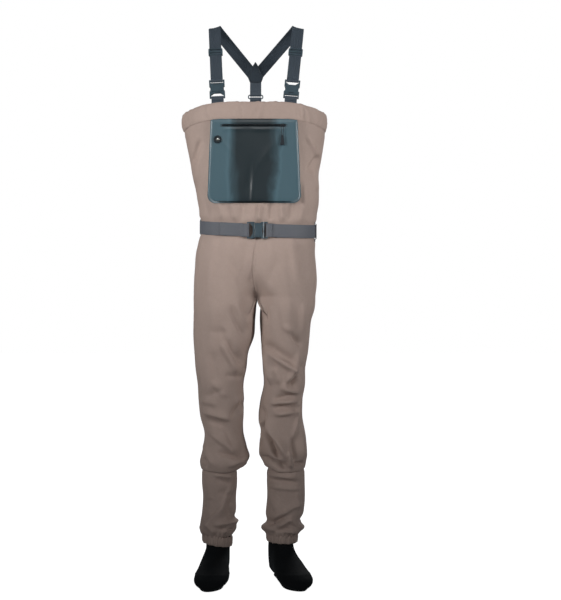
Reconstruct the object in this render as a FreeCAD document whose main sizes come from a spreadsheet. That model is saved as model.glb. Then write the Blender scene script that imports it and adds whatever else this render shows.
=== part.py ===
"""Stocking-foot chest waders, standing as worn, with a zipped chest pocket, Y-back suspenders and a waist belt.

Frame: millimetres, +Z up, the wearer faces -Y and the wearer's left is +X. The origin is on the floor, at the
middle of the whole object's bounding box. Fabric is a plain hollow wall; buckles, sliders, the rear ring and the
zipper are the real mechanisms, each piece in its own solid.
"""
import FreeCAD
import Part
import math
import os
import Sketcher
import PartDesign

Vector = FreeCAD.Vector
Rotation = FreeCAD.Rotation
Placement = FreeCAD.Placement

doc = FreeCAD.newDocument("waders")
sheet = doc.addObject("Spreadsheet::Sheet", "dims")
parts = []

SIDES = {"right": -1, "left": 1}

# ---------------------------------------------------------------- driving dimensions

SIZES = {
    # the garment's walls
    "centre_depth": 40.4,        # how far the torso's middle lies behind the origin
    "fabric_wall": 2.0,
    "neoprene_wall": 4.0,
    "hem_top": 1335.0,
    "hem_bottom": 1291.0,
    "hem_wall": 1.6,
    "hem_channel": 2.6,
    "crotch_level": 800.0,
    "fit_gap": 0.3,
    # the gravel guards and booties
    "guard_top": 288.0,
    "guard_bottom": 122.0,
    "guard_hem_bottom": 96.0,
    "guard_hem_wall": 4.4,
    "neck_top": 152.0,
    "sole_thick": 5.0,
    "tape_height": 18.0,
    "tape_thick": 0.8,
    "inner_leg_ease": 10.0,
    "right_toe_turn": -6.0,
    "left_toe_turn": 17.0,
    # the belt
    "belt_width": 37.0,
    "web_thick": 1.8,
    "belt_level": 992.0,
    "belt_side_tilt": -0.034,
    "belt_front_tilt": 0.08,
    "belt_stand_off": 4.0,
    "belt_buckle_x": 9.5,
    "belt_split_x": -76.0,
    "belt_overlap": 18.0,
    "loop_width": 12.0,
    "loop_height": 58.0,
    "loop_thick": 1.2,
    # the suspenders
    "strap_width": 34.0,
    "tab_x": 101.0,
    "right_strap_top_x": 114.0,
    "left_strap_top_x": 122.0,
    "strap_foot_level": 1341.0,
    "strap_front_top": 1552.0,
    "strap_lean": 91.0,
    "buckle_along": 38.0,
    "slider_along": 160.0,
    "tab_inside": 34.0,
    "yoke_level": 1447.0,
    "yoke_behind": 99.0,
    "ring_level": 1386.0,
    "ring_width": 45.0,
    "ring_height": 13.5,
    "ring_wire": 3.2,
    # the side-release buckles, which differ only in the width of their webbing
    "buckle_margin": 4.5,
    "buckle_length": 58.0,
    "buckle_thick": 10.0,
    "buckle_mouth": 8.0,
    "buckle_floor": -15.0,
    "buckle_wall": 3.2,
    "buckle_skin": 2.0,
    "bar_radius": 2.0,
    "rail_width": 4.0,
    "rail_thick": 6.0,
    "guide_width": 8.0,
    "arm_thick": 5.0,
    "window_radius": 11.0,
    # the strap sliders
    "slider_width": 40.0,
    "slider_height": 21.0,
    "slider_plate": 2.4,
    "slider_gap": 5.4,
    # the chest pocket and its zipper
    "pocket_top": 1287.0,
    "pocket_bottom": 1062.0,
    "pocket_half_top": 116.0,
    "pocket_half_bottom": 127.0,
    "pocket_corner": 24.0,
    "pocket_proud": 11.0,
    "pocket_skin": 1.6,
    "backing_rim": 4.0,
    "backing_thick": 1.0,
    "zip_level": 1270.0,
    "zip_half": 88.0,
    "zip_slot": 7.0,
    "zip_post_gap": 1.8,
    "zip_tape_width": 10.0,
    "slider_body": 11.0,
    "slider_start_x": 78.0,
    "pull_cord": 1.8,
    "grip_width": 12.0,
    "grip_length": 27.0,
    "grip_thick": 4.0,
    "stud_x": -100.0,
    "stud_level": 1231.0,
    "stud_radius": 11.0,
    "stud_height": 3.2,
}

# each level: height, half width, half depth, squareness, middle's x, how much higher the back is than the front
TORSO = {
    "rim": (1335.0, 203.0, 118.0, 3.0, 0.0, 20.0),
    "bust": (1280.0, 199.0, 119.0, 3.0, 0.0, 16.0),
    "chest": (1190.0, 185.0, 118.0, 3.0, 2.0, 8.0),
    "ribs": (1075.0, 171.0, 113.0, 2.9, 9.0, 2.0),
    "waist": (992.0, 160.5, 108.0, 2.7, 9.0, 0.0),
    "hip": (880.0, 172.0, 117.0, 2.7, 2.0, 0.0),
    "crotch": (800.0, 174.0, 121.0, 2.8, 0.0, 0.0),
}

# each level: height, middle's distance from the midplane, half width, middle's depth, half depth, inner squareness
LEGS = {
    "right": {
        "crotch": (798.0, 88.0, 86.0, 0.0, 118.0, 4.5),
        "thigh": (690.0, 91.0, 81.0, 2.0, 102.0, 2.8),
        "knee": (505.0, 95.0, 64.0, 0.0, 78.0, 2.2),
        "calf": (412.0, 88.0, 55.0, 4.0, 66.0, 2.1),
        "bulge": (335.0, 87.0, 69.0, 4.0, 74.0, 2.1),
        "seam": (288.0, 99.0, 52.0, 4.0, 58.0, 2.0),
        "shin": (225.0, 101.0, 47.0, 6.0, 54.0, 2.0),
        "puff": (146.0, 104.0, 53.0, 4.0, 58.0, 2.0),
        "ankle": (122.0, 107.0, 43.0, 2.0, 50.0, 2.0),
        "cuff": (96.0, 107.0, 41.0, 0.0, 49.0, 2.0),
    },
    "left": {
        "crotch": (798.0, 88.0, 86.0, 0.0, 118.0, 4.5),
        "thigh": (690.0, 86.0, 73.0, 2.0, 100.0, 2.6),
        "knee": (505.0, 77.0, 59.0, 0.0, 78.0, 2.2),
        "calf": (412.0, 81.0, 61.0, 4.0, 66.0, 2.1),
        "bulge": (345.0, 80.0, 68.0, 4.0, 74.0, 2.1),
        "seam": (288.0, 88.0, 54.0, 4.0, 58.0, 2.0),
        "shin": (225.0, 88.0, 52.0, 6.0, 54.0, 2.0),
        "puff": (146.0, 79.0, 53.0, 4.0, 58.0, 2.0),
        "ankle": (122.0, 78.0, 44.0, 2.0, 50.0, 2.0),
        "cuff": (96.0, 77.0, 42.0, 0.0, 49.0, 2.0),
    },
}

# each station of the foot: distance ahead of the ankle, half width, height above the sole, middle's sideways shift
FOOT = {
    "heel_end": (-64.0, 6.0, 12.0, 0.0),
    "heel_back": (-62.0, 15.0, 36.0, 0.0),
    "heel": (-52.0, 27.0, 62.0, 0.0),
    "ankle": (-20.0, 34.0, 88.0, 0.0),
    "arch": (25.0, 38.0, 84.0, 1.0),
    "instep": (70.0, 43.0, 68.0, 3.0),
    "ball": (118.0, 47.0, 54.0, 4.0),
    "toes": (162.0, 44.0, 42.0, 3.0),
    "toe_cap": (188.0, 33.0, 32.0, 1.0),
    "toe_tip": (199.0, 18.0, 21.0, 0.0),
    "toe_end": (202.0, 8.0, 9.0, 0.0),
}


def fill_sheet():
    """Every driving dimension goes in the sheet, one alias each."""
    cells = dict(SIZES)
    for level, values in TORSO.items():
        for word, value in zip(("z", "half_width", "half_depth", "square", "middle", "rise"), values):
            cells[f"torso_{level}_{word}"] = value
    for side, levels in LEGS.items():
        for level, values in levels.items():
            for word, value in zip(("z", "middle", "half_width", "depth", "half_depth", "square"), values):
                cells[f"{side}_{level}_{word}"] = value
    for station, values in FOOT.items():
        for word, value in zip(("ahead", "half_width", "height", "shift"), values):
            cells[f"foot_{station}_{word}"] = value
    for row, (alias, value) in enumerate(cells.items(), start=1):
        sheet.set(f"A{row}", alias)
        sheet.set(f"B{row}", str(value))
        sheet.setAlias(f"B{row}", alias)
    doc.recompute()


def dim(alias):
    return float(sheet.get(alias))


# ---------------------------------------------------------------- outlines of the garment

def between(levels, height):
    """Smooth values between the levels, which run from high to low: a cubic through them with mean slopes."""
    rows = sorted(levels)
    height = min(max(height, rows[0][0]), rows[-1][0])
    low = max(i for i in range(len(rows) - 1) if rows[i][0] <= height)
    a, b = rows[low], rows[low + 1]
    span = b[0] - a[0]
    share = (height - a[0]) / span

    def slope(i, k):
        before, after = rows[max(i - 1, 0)], rows[min(i + 1, len(rows) - 1)]
        return (after[k] - before[k]) / (after[0] - before[0])

    values = []
    for k in range(1, len(a)):
        rise = share * share * (3 - 2 * share)
        lead = share * (1 - share) ** 2
        trail = share * share * (share - 1)
        values.append(
            a[k] + (b[k] - a[k]) * rise + span * (lead * slope(low, k) + trail * slope(low + 1, k))
        )
    return values


def torso_levels():
    words = ("z", "half_width", "half_depth", "square", "middle", "rise")
    return [tuple(dim(f"torso_{level}_{word}") for word in words) for level in TORSO]


def leg_levels(side):
    words = ("z", "middle", "half_width", "depth", "half_depth", "square")
    return [tuple(dim(f"{side}_{level}_{word}") for word in words) for level in LEGS[side]]


def power(value, exponent):
    return math.copysign(abs(value) ** exponent, value)


def torso_point(height, angle, offset=0.0):
    """A point of the torso's outer surface: angle 0 is the wearer's left side and 90 is the middle of the back."""
    half_width, half_depth, square, middle, rise = between(torso_levels(), height)
    c, s = math.cos(math.radians(angle)), math.sin(math.radians(angle))
    behind = (half_depth + offset) * power(s, 2 / square)
    return Vector(
        middle + (half_width + offset) * power(c, 2 / square),
        dim("centre_depth") + behind,
        height + rise * (1 + behind / half_depth) / 2,
    )


def leg_point(side, height, angle, offset=0.0):
    """A point of a leg's outer surface, at the same angles as the torso's; the inner half is squarer."""
    middle, half_width, depth, half_depth, square = between(leg_levels(side), height)
    sign = SIDES[side]
    c, s = math.cos(math.radians(angle)), math.sin(math.radians(angle))
    exponent = 2 / square if c * sign < 0 else 1.0
    return Vector(
        sign * middle + (half_width + offset) * power(c, exponent),
        dim("centre_depth") + depth + (half_depth + offset) * power(s, exponent),
        height,
    )


def torso_front(x, height, offset=0.0):
    """The depth at which a line along Y through x meets the front of the torso's surface."""
    half_width, half_depth, square, middle, rise = between(torso_levels(), height)
    share = abs(x - middle) / (half_width + offset)
    return dim("centre_depth") - (half_depth + offset) * (1 - share ** square) ** (1 / square)


def steps(first, last, count):
    return [first + (last - first) * i / (count - 1) for i in range(count)]


def spline_edge(points):
    curve = Part.BSplineCurve()
    curve.interpolate(points)
    return curve.toShape()


def wall(point_at, heights, angles, outer, inner):
    """A fabric wall over a span of angles, from offset inner to offset outer, through the heights."""
    wires = []
    for height in heights:
        outside = [point_at(height, angle, outer) for angle in angles]
        inside = [point_at(height, angle, inner) for angle in reversed(angles)]
        wires.append(Part.Wire([
            spline_edge(outside),
            Part.LineSegment(outside[-1], inside[0]).toShape(),
            spline_edge(inside),
            Part.LineSegment(inside[-1], outside[0]).toShape(),
        ]))
    return Part.makeLoft(wires, True, False)


def column(point_at, heights, offset, count=40):
    """The solid inside a closed outline, through the heights."""
    wires = []
    for height in heights:
        curve = Part.BSplineCurve()
        curve.interpolate([point_at(height, 360.0 * i / count, offset) for i in range(count)], PeriodicFlag=True)
        wires.append(Part.Wire([curve.toShape()]))
    return Part.makeLoft(wires, True, False)


def ring_wall(point_at, heights, outer, inner):
    """A whole ring of wall: the column inside the outer outline, less the one inside the inner outline."""
    beyond = 4.0
    longer = [heights[0] - beyond] + heights + [heights[-1] + beyond]
    return column(point_at, heights, outer).cut(column(point_at, longer, inner))


# ---------------------------------------------------------------- helpers that make document objects

def keep(item, label):
    """Marks a document object as a sub-part with its own node."""
    item.Label = label
    parts.append(item)
    return item


def shape_part(label, shape, placement=None):
    """A sub-part whose shape is worked out here from the sheet's sizes."""
    item = doc.addObject("Part::Feature", label)
    item.Shape = shape
    item.Placement = placement or Placement()
    return keep(item, label)


def bar(name, radius, length, z):
    """A round bar along X, centred on x = 0 and y = 0."""
    item = doc.addObject("Part::Cylinder", name)
    item.setExpression("Radius", radius)
    item.setExpression("Height", length)
    item.Placement = Placement(Vector(), Rotation(Vector(0, 1, 0), 90))
    item.setExpression("Placement.Base.x", f"-({length}) / 2")
    item.setExpression("Placement.Base.z", z)
    return item


def fuse(name, items):
    item = doc.addObject("Part::MultiFuse", name)
    item.Shapes = items
    item.Refine = True
    return item


def cut(name, base, tool):
    item = doc.addObject("Part::Cut", name)
    item.Base = base
    item.Tool = tool
    item.Refine = True
    return item


def origin_plane(body, role):
    return [f for f in body.Origin.OriginFeatures if f.Role == role][0]


def outline_sketch(body, role, corners, name):
    """A closed outline of straight edges whose corners are pairs of expressions."""
    sketch = body.newObject("Sketcher::SketchObject", name)
    sketch.AttachmentSupport = [(origin_plane(body, role), "")]
    sketch.MapMode = "FlatFace"
    places = [tuple(evaluate(text) for text in corner) for corner in corners]
    count = len(places)
    for i, (x, y) in enumerate(places):
        after = places[(i + 1) % count]
        sketch.addGeometry(Part.LineSegment(Vector(x, y, 0), Vector(after[0], after[1], 0)), False)
    for i in range(count):
        sketch.addConstraint(Sketcher.Constraint("Coincident", i, 2, (i + 1) % count, 1))
    for i, corner in enumerate(corners):
        for kind, value, text in zip(("DistanceX", "DistanceY"), places[i], corner):
            index = sketch.addConstraint(Sketcher.Constraint(kind, -1, 1, i, 1, value))
            sketch.setExpression(f"Constraints[{index}]", text)
    return sketch


def evaluate(text):
    """The value of an expression on the sheet, for a sketch's first guess."""
    value = sheet.evalExpression(text)
    return float(getattr(value, "Value", value))


def pad(body, sketch, length, name):
    feature = body.newObject("PartDesign::Pad", name)
    feature.Profile = sketch
    feature.SideType = "Symmetric"
    feature.setExpression("Length", length)
    return feature


def pocket(body, sketch, length, name):
    feature = body.newObject("PartDesign::Pocket", name)
    feature.Profile = sketch
    feature.SideType = "Symmetric"
    feature.setExpression("Length", length)
    return feature


def round_edges(body, base, radius, chosen, name):
    """Fillets the edges of the body's last feature that the test chooses."""
    doc.recompute()
    names = [f"Edge{i + 1}" for i, edge in enumerate(base.Shape.Edges) if chosen(edge)]
    feature = body.newObject("PartDesign::Fillet", name)
    feature.Base = (base, names)
    feature.Radius = radius
    doc.recompute()
    if "Invalid" in feature.State or feature.Shape.isNull():
        raise RuntimeError(f"{name} failed")
    return feature


def is_along(edge, direction, least=0.0, most=1e9):
    """True if an edge is straight, along the direction, and its length is in range."""
    if edge.Curve.TypeId != "Part::GeomLine" or not least <= edge.Length <= most:
        return False
    return abs(edge.Curve.Direction.dot(direction)) > 0.999


def frame(origin, across, along):
    """The placement whose X runs across a strap and whose Z runs along it."""
    z = Vector(along).normalize()
    x = Vector(across) - z * z.dot(Vector(across))
    x.normalize()
    y = z.cross(x)
    return Placement(Vector(origin), Rotation(x, y, z, "ZXY"))


# ---------------------------------------------------------------- webbing

def ribbon(stations, width, thick):
    """A flat webbing solid through stations, each a point and the direction across the webbing."""
    wires = []
    for i, (point, side) in enumerate(stations):
        before = stations[max(i - 1, 0)][0]
        after = stations[min(i + 1, len(stations) - 1)][0]
        tangent = (after - before).normalize()
        across = side - tangent * tangent.dot(side)
        across.normalize()
        normal = tangent.cross(across)
        half, depth = across * (width / 2), normal * (thick / 2)
        wires.append(Part.makePolygon([
            point - half - depth, point + half - depth, point + half + depth, point - half + depth,
            point - half - depth,
        ]))
    return Part.makeLoft(wires, True, True)


def loop_points(bar_at, toward, near, far):
    """The middle line of webbing that comes along +-Z to a bar, turns round it and goes back, as (y, z)."""
    turn = dim("bar_radius") + dim("fit_gap") + dim("web_thick") / 2
    apart = dim("web_thick") / 2 + dim("fit_gap") / 2
    points = [(-apart, bar_at + toward * far), (-apart, bar_at + toward * near), (-turn, bar_at + toward * 3)]
    for angle in steps(0.0, 180.0, 7):
        radians = math.radians(angle)
        points.append((-turn * math.cos(radians), bar_at - toward * turn * math.sin(radians)))
    points += [(turn, bar_at + toward * 3), (apart, bar_at + toward * near), (apart, bar_at + toward * far)]
    return points


def local_loop(bar_at, toward, near, far, width):
    stations = [(Vector(0, y, z), Vector(1, 0, 0)) for y, z in loop_points(bar_at, toward, near, far)]
    return ribbon(stations, width, dim("web_thick"))


def hermite(start, start_pull, end, end_pull, count):
    points = []
    for t in steps(0.0, 1.0, count):
        points.append(
            start * (2 * t**3 - 3 * t**2 + 1) + start_pull * (t**3 - 2 * t**2 + t)
            + end * (3 * t**2 - 2 * t**3) + end_pull * (t**3 - t**2)
        )
    return points


# ---------------------------------------------------------------- the garment

def make_torso():
    """Four fabric panels, joined at the middle of the front and back and down the sides."""
    heights = steps(dim("crotch_level"), dim("hem_bottom"), 13)
    quarters = {
        "front_panel_left": (270.0, 360.0),
        "back_panel_left": (0.0, 90.0),
        "back_panel_right": (90.0, 180.0),
        "front_panel_right": (180.0, 270.0),
    }
    for label, (first, last) in quarters.items():
        shape_part(label, wall(torso_point, heights, steps(first, last, 10), 0.0, -dim("fabric_wall")))


def hem_inner():
    """The offset of the hem casing's inner face from the torso's surface."""
    return 1.0 - 2 * dim("hem_wall") - dim("hem_channel")


def make_chest_hem():
    """The folded casing round the top, closed over the elastic that gathers it."""
    low, high = dim("hem_bottom"), dim("hem_top")
    wall_thick, channel, gap = dim("hem_wall"), dim("hem_channel"), dim("fit_gap")
    casing = ring_wall(torso_point, steps(low, high, 4), 1.0, hem_inner())
    room = ring_wall(
        torso_point, steps(low + wall_thick, high - wall_thick, 4), 1.0 - wall_thick, 1.0 - wall_thick - channel
    )
    shape_part("chest_hem", casing.cut(room))
    elastic = ring_wall(
        torso_point, steps(low + wall_thick + gap, high - wall_thick - gap, 4),
        1.0 - wall_thick - gap, 1.0 - wall_thick - channel + gap,
    )
    shape_part("chest_hem_elastic", elastic)


def make_crotch_gusset():
    """The strip between the legs that closes the bottom of the torso."""
    half, span, thick = 6.0, 112.0, 1.6
    low = dim("crotch_level") - thick - dim("fit_gap")
    strip = Part.makeBox(2 * half, 2 * span, thick, Vector(-half, dim("centre_depth") - span, low))
    for side in SIDES:
        heights = steps(770.0, 798.0, 3)
        strip = strip.cut(column(lambda h, a, o, s=side: leg_point(s, h, a, o), heights, dim("fit_gap")))
    shape_part("crotch_gusset", strip)


def make_legs():
    """Front and back panels of each leg, from the crotch to the seam where the gravel guard starts."""
    for side in SIDES:
        def point_at(height, angle, offset, side=side):
            return leg_point(side, height, angle, offset)

        heights = steps(dim("guard_top"), 798.0, 15)
        for name, first in (("front", 180.0), ("back", 0.0)):
            panel = wall(point_at, heights, steps(first, first + 180.0, 15), 0.0, -dim("fabric_wall"))
            shape_part(f"leg_{name}_{side}", panel)


def make_guards():
    """Each leg goes on down inside its gravel guard, which is an outer tube with an elastic hem."""
    fabric, gap = dim("fabric_wall"), dim("fit_gap")
    elastics, tapes = [], []
    for side in SIDES:
        def point_at(height, angle, offset, side=side):
            return leg_point(side, height, angle, offset)

        top, bottom, cuff = dim("guard_top") - gap, dim("guard_bottom"), dim("guard_hem_bottom")
        shape_part(f"gravel_guard_{side}", ring_wall(point_at, steps(bottom, top, 8), 0.0, -fabric))

        low, high, thick = cuff, bottom - gap, dim("guard_hem_wall")
        casing = ring_wall(point_at, steps(low, high, 3), 1.0, 1.0 - thick)
        room = ring_wall(point_at, steps(low + 1.2, high - 1.2, 3), -0.2, 2.2 - thick)
        shape_part(f"guard_hem_{side}", casing.cut(room))
        elastics.append(ring_wall(point_at, steps(low + 1.5, high - 1.5, 3), -0.5, 2.5 - thick))

        neck = bootie_neck(side)
        seam = dim("neck_top")
        above_tape = seam + dim("tape_height") / 2 + gap
        inner_levels = [seam + gap, above_tape] + steps(above_tape, dim("guard_top") - gap, 5)[1:]

        def inner_point(height, angle, offset, point_at=point_at, neck=neck, seam=seam):
            taped = seam + dim("tape_height") / 2 + gap
            share = max(0.0, (height - taped) / (dim("guard_top") - taped))
            outer = point_at(dim("guard_top"), angle, offset - dim("inner_leg_ease"))
            lower = neck(seam, angle, offset)
            place = lower * (1 - share) + outer * share
            return Vector(place.x, place.y, height)

        shape_part(f"inner_leg_{side}", ring_wall(inner_point, inner_levels, 0.0, -fabric))
        tape, half = dim("tape_thick"), dim("tape_height") / 2

        def tape_point(height, angle, offset, neck=neck, seam=seam):
            place = neck(seam, angle, offset)
            return Vector(place.x, place.y, height)

        tapes.append(ring_wall(tape_point, [seam - half, seam + half], tape + 1.0, 1.0))
    shape_part("guard_elastics", Part.makeCompound(elastics))
    shape_part("bootie_seam_tapes", Part.makeCompound(tapes))


def bootie_neck(side):
    """The outline of the neoprene neck above the ankle, narrower than the cuff round it."""
    def point_at(height, angle, offset):
        low, high = 30.0, dim("neck_top")
        share = (height - low) / (high - low)
        middle = SIDES[side] * dim(f"{side}_cuff_middle")
        half_width = 35.0 + offset - 1.0 * share
        half_depth = 44.0 + offset - 4.0 * share
        radians = math.radians(angle)
        return Vector(
            middle + half_width * math.cos(radians),
            dim("centre_depth") + half_depth * math.sin(radians),
            height,
        )

    return point_at


def foot_solid(offset):
    """The foot of a bootie along -Y from the ankle, standing on the sole; offset moves its skin in or out."""
    wires = []
    base = dim("sole_thick") - offset
    stations = list(FOOT)
    for station in stations:
        ahead, half_width, height, shift = (
            dim(f"foot_{station}_{word}") for word in ("ahead", "half_width", "height", "shift")
        )
        if station == stations[0]:
            ahead -= offset
        if station == stations[-1]:
            ahead += offset
        half_width, height = half_width + offset, height + offset + dim("sole_thick") - base
        points = []
        for angle in steps(0.0, 180.0, 13):
            radians = math.radians(angle)
            points.append(Vector(
                shift + half_width * power(math.cos(radians), 0.85), -ahead,
                base + height * power(math.sin(radians), 0.85),
            ))
        wires.append(Part.Wire([spline_edge(points), Part.LineSegment(points[-1], points[0]).toShape()]))
    return Part.makeLoft(wires, True, False)


def make_booties():
    """A neoprene sock for each foot, hollow, on a separate denser sole."""
    for side, sign in SIDES.items():
        middle = Vector(sign * dim(f"{side}_cuff_middle"), dim("centre_depth"), 0)
        turn = Placement(middle, Rotation(Vector(0, 0, 1), dim(f"{side}_toe_turn")))
        mirror = FreeCAD.Matrix()
        mirror.A11 = -sign
        shell, top = [], dim("neck_top")
        for offset, first, last in ((0.0, 30.0, top), (-dim("neoprene_wall"), 34.0, top + 5)):
            foot = foot_solid(offset).transformGeometry(mirror)
            foot.Placement = turn
            heights = steps(first, last, 4)
            neck = column(bootie_neck(side), heights, offset)
            shell.append(foot.fuse(neck))
        shape_part(f"bootie_{side}", shell[0].cut(shell[1]))

        edge = []
        for station in FOOT:
            ahead, half_width, shift = (dim(f"foot_{station}_{word}") for word in ("ahead", "half_width", "shift"))
            edge.append((ahead, half_width, shift))
        points = [Vector(-sign * (shift + half), -ahead, 0) for ahead, half, shift in edge]
        points += [Vector(-sign * (shift - half), -ahead, 0) for ahead, half, shift in reversed(edge)]
        curve = Part.BSplineCurve()
        curve.interpolate(points, PeriodicFlag=True)
        face = Part.Face(Part.Wire([curve.toShape()]))
        shape_part(f"bootie_sole_{side}", face.extrude(Vector(0, 0, dim("sole_thick"))), turn)


# ---------------------------------------------------------------- side-release buckles

def make_buckle_female(label, webbing, place):
    """The socket half: a flat box open at its mouth, waisted at both sides, with a webbing bar below."""
    half = f"(dims.{webbing} / 2 + dims.buckle_margin)"
    body = doc.addObject("PartDesign::Body", f"{label}_body")
    outline = outline_sketch(body, "XZ_Plane", [
        (f"-{half}", "-dims.buckle_length / 2"), (half, "-dims.buckle_length / 2"),
        (half, "dims.buckle_mouth"), (f"-{half}", "dims.buckle_mouth"),
    ], f"{label}_outline")
    pad(body, outline, "dims.buckle_thick", f"{label}_block")

    thin = outline_sketch(body, "YZ_Plane", [
        ("dims.rail_thick / 2", "-dims.buckle_length / 2 - 1"),
        ("dims.buckle_thick", "-dims.buckle_length / 2 - 1"),
        ("dims.buckle_thick", "dims.buckle_floor - 3"), ("dims.buckle_thick / 2", "dims.buckle_floor"),
        ("dims.rail_thick / 2", "dims.buckle_floor - 3"),
    ], f"{label}_front_step")
    pocket(body, thin, f"{half} * 2 + 4", f"{label}_front_thinning")
    thin_back = outline_sketch(body, "YZ_Plane", [
        ("-dims.rail_thick / 2", "-dims.buckle_length / 2 - 1"),
        ("-dims.rail_thick / 2", "dims.buckle_floor - 3"), ("-dims.buckle_thick / 2", "dims.buckle_floor"),
        ("-dims.buckle_thick", "dims.buckle_floor - 3"), ("-dims.buckle_thick", "-dims.buckle_length / 2 - 1"),
    ], f"{label}_back_step")
    pocket(body, thin_back, f"{half} * 2 + 4", f"{label}_back_thinning")

    inner = f"({half} - dims.rail_width)"
    opening = outline_sketch(body, "XZ_Plane", [
        (f"-{inner}", "-dims.buckle_length / 2 - 1"), (inner, "-dims.buckle_length / 2 - 1"),
        (inner, "dims.buckle_floor - 4"), (f"-{inner}", "dims.buckle_floor - 4"),
    ], f"{label}_web_opening")
    pocket(body, opening, "dims.buckle_thick + 4", f"{label}_web_slot")

    room = f"({half} - dims.buckle_wall)"
    cavity = outline_sketch(body, "XZ_Plane", [
        (f"-{room}", "dims.buckle_floor + 4"), (room, "dims.buckle_floor + 4"),
        (room, "dims.buckle_mouth + 1"), (f"-{room}", "dims.buckle_mouth + 1"),
    ], f"{label}_cavity_outline")
    pocket(body, cavity, "dims.buckle_thick - 2 * dims.buckle_skin", f"{label}_cavity")

    slot = outline_sketch(body, "XZ_Plane", [
        ("-9", "dims.buckle_floor - 0.8"), ("9", "dims.buckle_floor - 0.8"),
        ("7.5", "dims.buckle_floor + 1.6"), ("-7.5", "dims.buckle_floor + 1.6"),
    ], f"{label}_slot_outline")
    last = pocket(body, slot, "dims.buckle_thick + 4", f"{label}_slot")
    round_edges(
        body, last, 1.2,
        lambda e: is_along(e, Vector(1, 0, 0), 2 * evaluate(half) - 1) and e.CenterOfMass.z > 0
        and abs(e.CenterOfMass.y) > evaluate("dims.buckle_thick") / 2 - 0.1,
        f"{label}_soft_mouth",
    )
    doc.recompute()

    window = doc.addObject("Part::Cylinder", f"{label}_window")
    window.setExpression("Radius", "dims.window_radius")
    window.setExpression("Height", "dims.buckle_thick + 4")
    window.Placement = Placement(Vector(), Rotation(Vector(1, 0, 0), 90))
    window.setExpression("Placement.Base.x", f"{half} + dims.window_radius - 5.2")
    window.setExpression("Placement.Base.y", "dims.buckle_thick / 2 + 2")
    window.setExpression("Placement.Base.z", "-1")
    mirror = doc.addObject("Part::Mirroring", f"{label}_other_window")
    mirror.Source = window
    mirror.Normal = Vector(1, 0, 0)
    windows = fuse(f"{label}_windows", [window, mirror])
    waisted = cut(f"{label}_waisted", body, windows)
    rod = bar(
        f"{label}_bar", "dims.bar_radius", f"2 * {inner} + dims.rail_width",
        "dims.bar_radius - dims.buckle_length / 2 + 0.2",
    )
    joined = fuse(f"{label}_joined", [waisted, rod])
    joined.Placement = place
    return keep(joined, label)


def make_buckle_male(label, webbing, place):
    """The plug half: a shoulder across the mouth, a middle guide, two rails and a webbing bar."""
    half = f"(dims.{webbing} / 2 + dims.buckle_margin)"
    inner = f"({half} - dims.rail_width)"
    body = doc.addObject("PartDesign::Body", f"{label}_body")
    outline = outline_sketch(body, "XZ_Plane", [
        (f"-{half}", "dims.buckle_mouth + 0.4"), ("-dims.guide_width / 2", "dims.buckle_mouth + 0.4"),
        ("-dims.guide_width / 2", "dims.buckle_floor + 7"), ("dims.guide_width / 2", "dims.buckle_floor + 7"),
        ("dims.guide_width / 2", "dims.buckle_mouth + 0.4"), (half, "dims.buckle_mouth + 0.4"),
        (half, "dims.buckle_length / 2"), (inner, "dims.buckle_length / 2"),
        (inner, "dims.buckle_mouth + 12"), ("9", "dims.buckle_mouth + 5"),
        ("-9", "dims.buckle_mouth + 5"), (f"-{inner}", "dims.buckle_mouth + 12"),
        (f"-{inner}", "dims.buckle_length / 2"), (f"-{half}", "dims.buckle_length / 2"),
    ], f"{label}_outline")
    block = pad(body, outline, "dims.rail_thick - 0.6", f"{label}_block")
    round_edges(
        body, block, 1.6,
        lambda e: is_along(e, Vector(0, 1, 0)) and abs(e.CenterOfMass.x) > evaluate(half) - 0.1,
        f"{label}_soft_corners",
    )
    rod = bar(
        f"{label}_bar", "dims.bar_radius", f"2 * {inner} + dims.rail_width",
        "dims.buckle_length / 2 - dims.bar_radius - 0.2",
    )
    joined = fuse(f"{label}_joined", [body, rod])
    joined.Placement = place
    return keep(joined, label)


def make_buckle_arm(label, webbing, sign, place):
    """One of the plug's two spring arms, whose pad shows in the socket's side window."""
    half = f"(dims.{webbing} / 2 + dims.buckle_margin)"
    way = "" if sign > 0 else "-"
    mouth = "dims.buckle_mouth"
    body = doc.addObject("PartDesign::Body", label)
    profile = [
        (f"{half} - 8.5", f"{mouth} + 0.1"), (f"{half} - 8", f"{mouth} - 12"),
        (f"{half} - 10", "dims.buckle_floor + 6"),
        (f"{half} - 7", "dims.buckle_floor + 5"), (f"{half} - 3.4", "-6"), (f"{half} - 2.6", "-1.5"),
        (f"{half} - 2.8", "2.4"), (f"{half} - 4.6", "3.6"), (f"{half} - 5.2", f"{mouth} + 0.1"),
    ]
    outline = outline_sketch(body, "XZ_Plane", [(f"{way}({x})", z) for x, z in profile], f"{label}_outline")
    block = pad(body, outline, "dims.arm_thick", f"{label}_block")
    round_edges(body, block, 0.8, lambda e: is_along(e, Vector(0, 1, 0)) and e.CenterOfMass.z < 0, f"{label}_soft")
    body.Placement = place
    return keep(body, label)


def make_buckle(prefix, webbing, place, arms):
    make_buckle_female(f"{prefix}_female", webbing, place)
    make_buckle_male(f"{prefix}_male", webbing, place)
    for name, sign in arms.items():
        make_buckle_arm(f"{prefix}_arm_{name}", webbing, sign, place)


# ---------------------------------------------------------------- the belt

def belt_height(x, y):
    """The belt lies in a plane that is tilted a little to the side and to the front."""
    depth = y - dim("centre_depth")
    return dim("belt_level") + dim("belt_side_tilt") * x + dim("belt_front_tilt") * depth


def belt_station(angle, offset):
    place = torso_point(dim("belt_level"), angle, offset)
    place.z = belt_height(place.x, place.y)
    return place


def belt_buckle_place():
    x = dim("belt_buckle_x")
    front = torso_point(dim("belt_level"), 270.0)
    y = front.y - dim("fabric_wall") - dim("buckle_thick") / 2 - 1.0
    return frame(Vector(x, y, belt_height(x, y)), Vector(0, 0, 1), Vector(-1, 0, 0))


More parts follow.
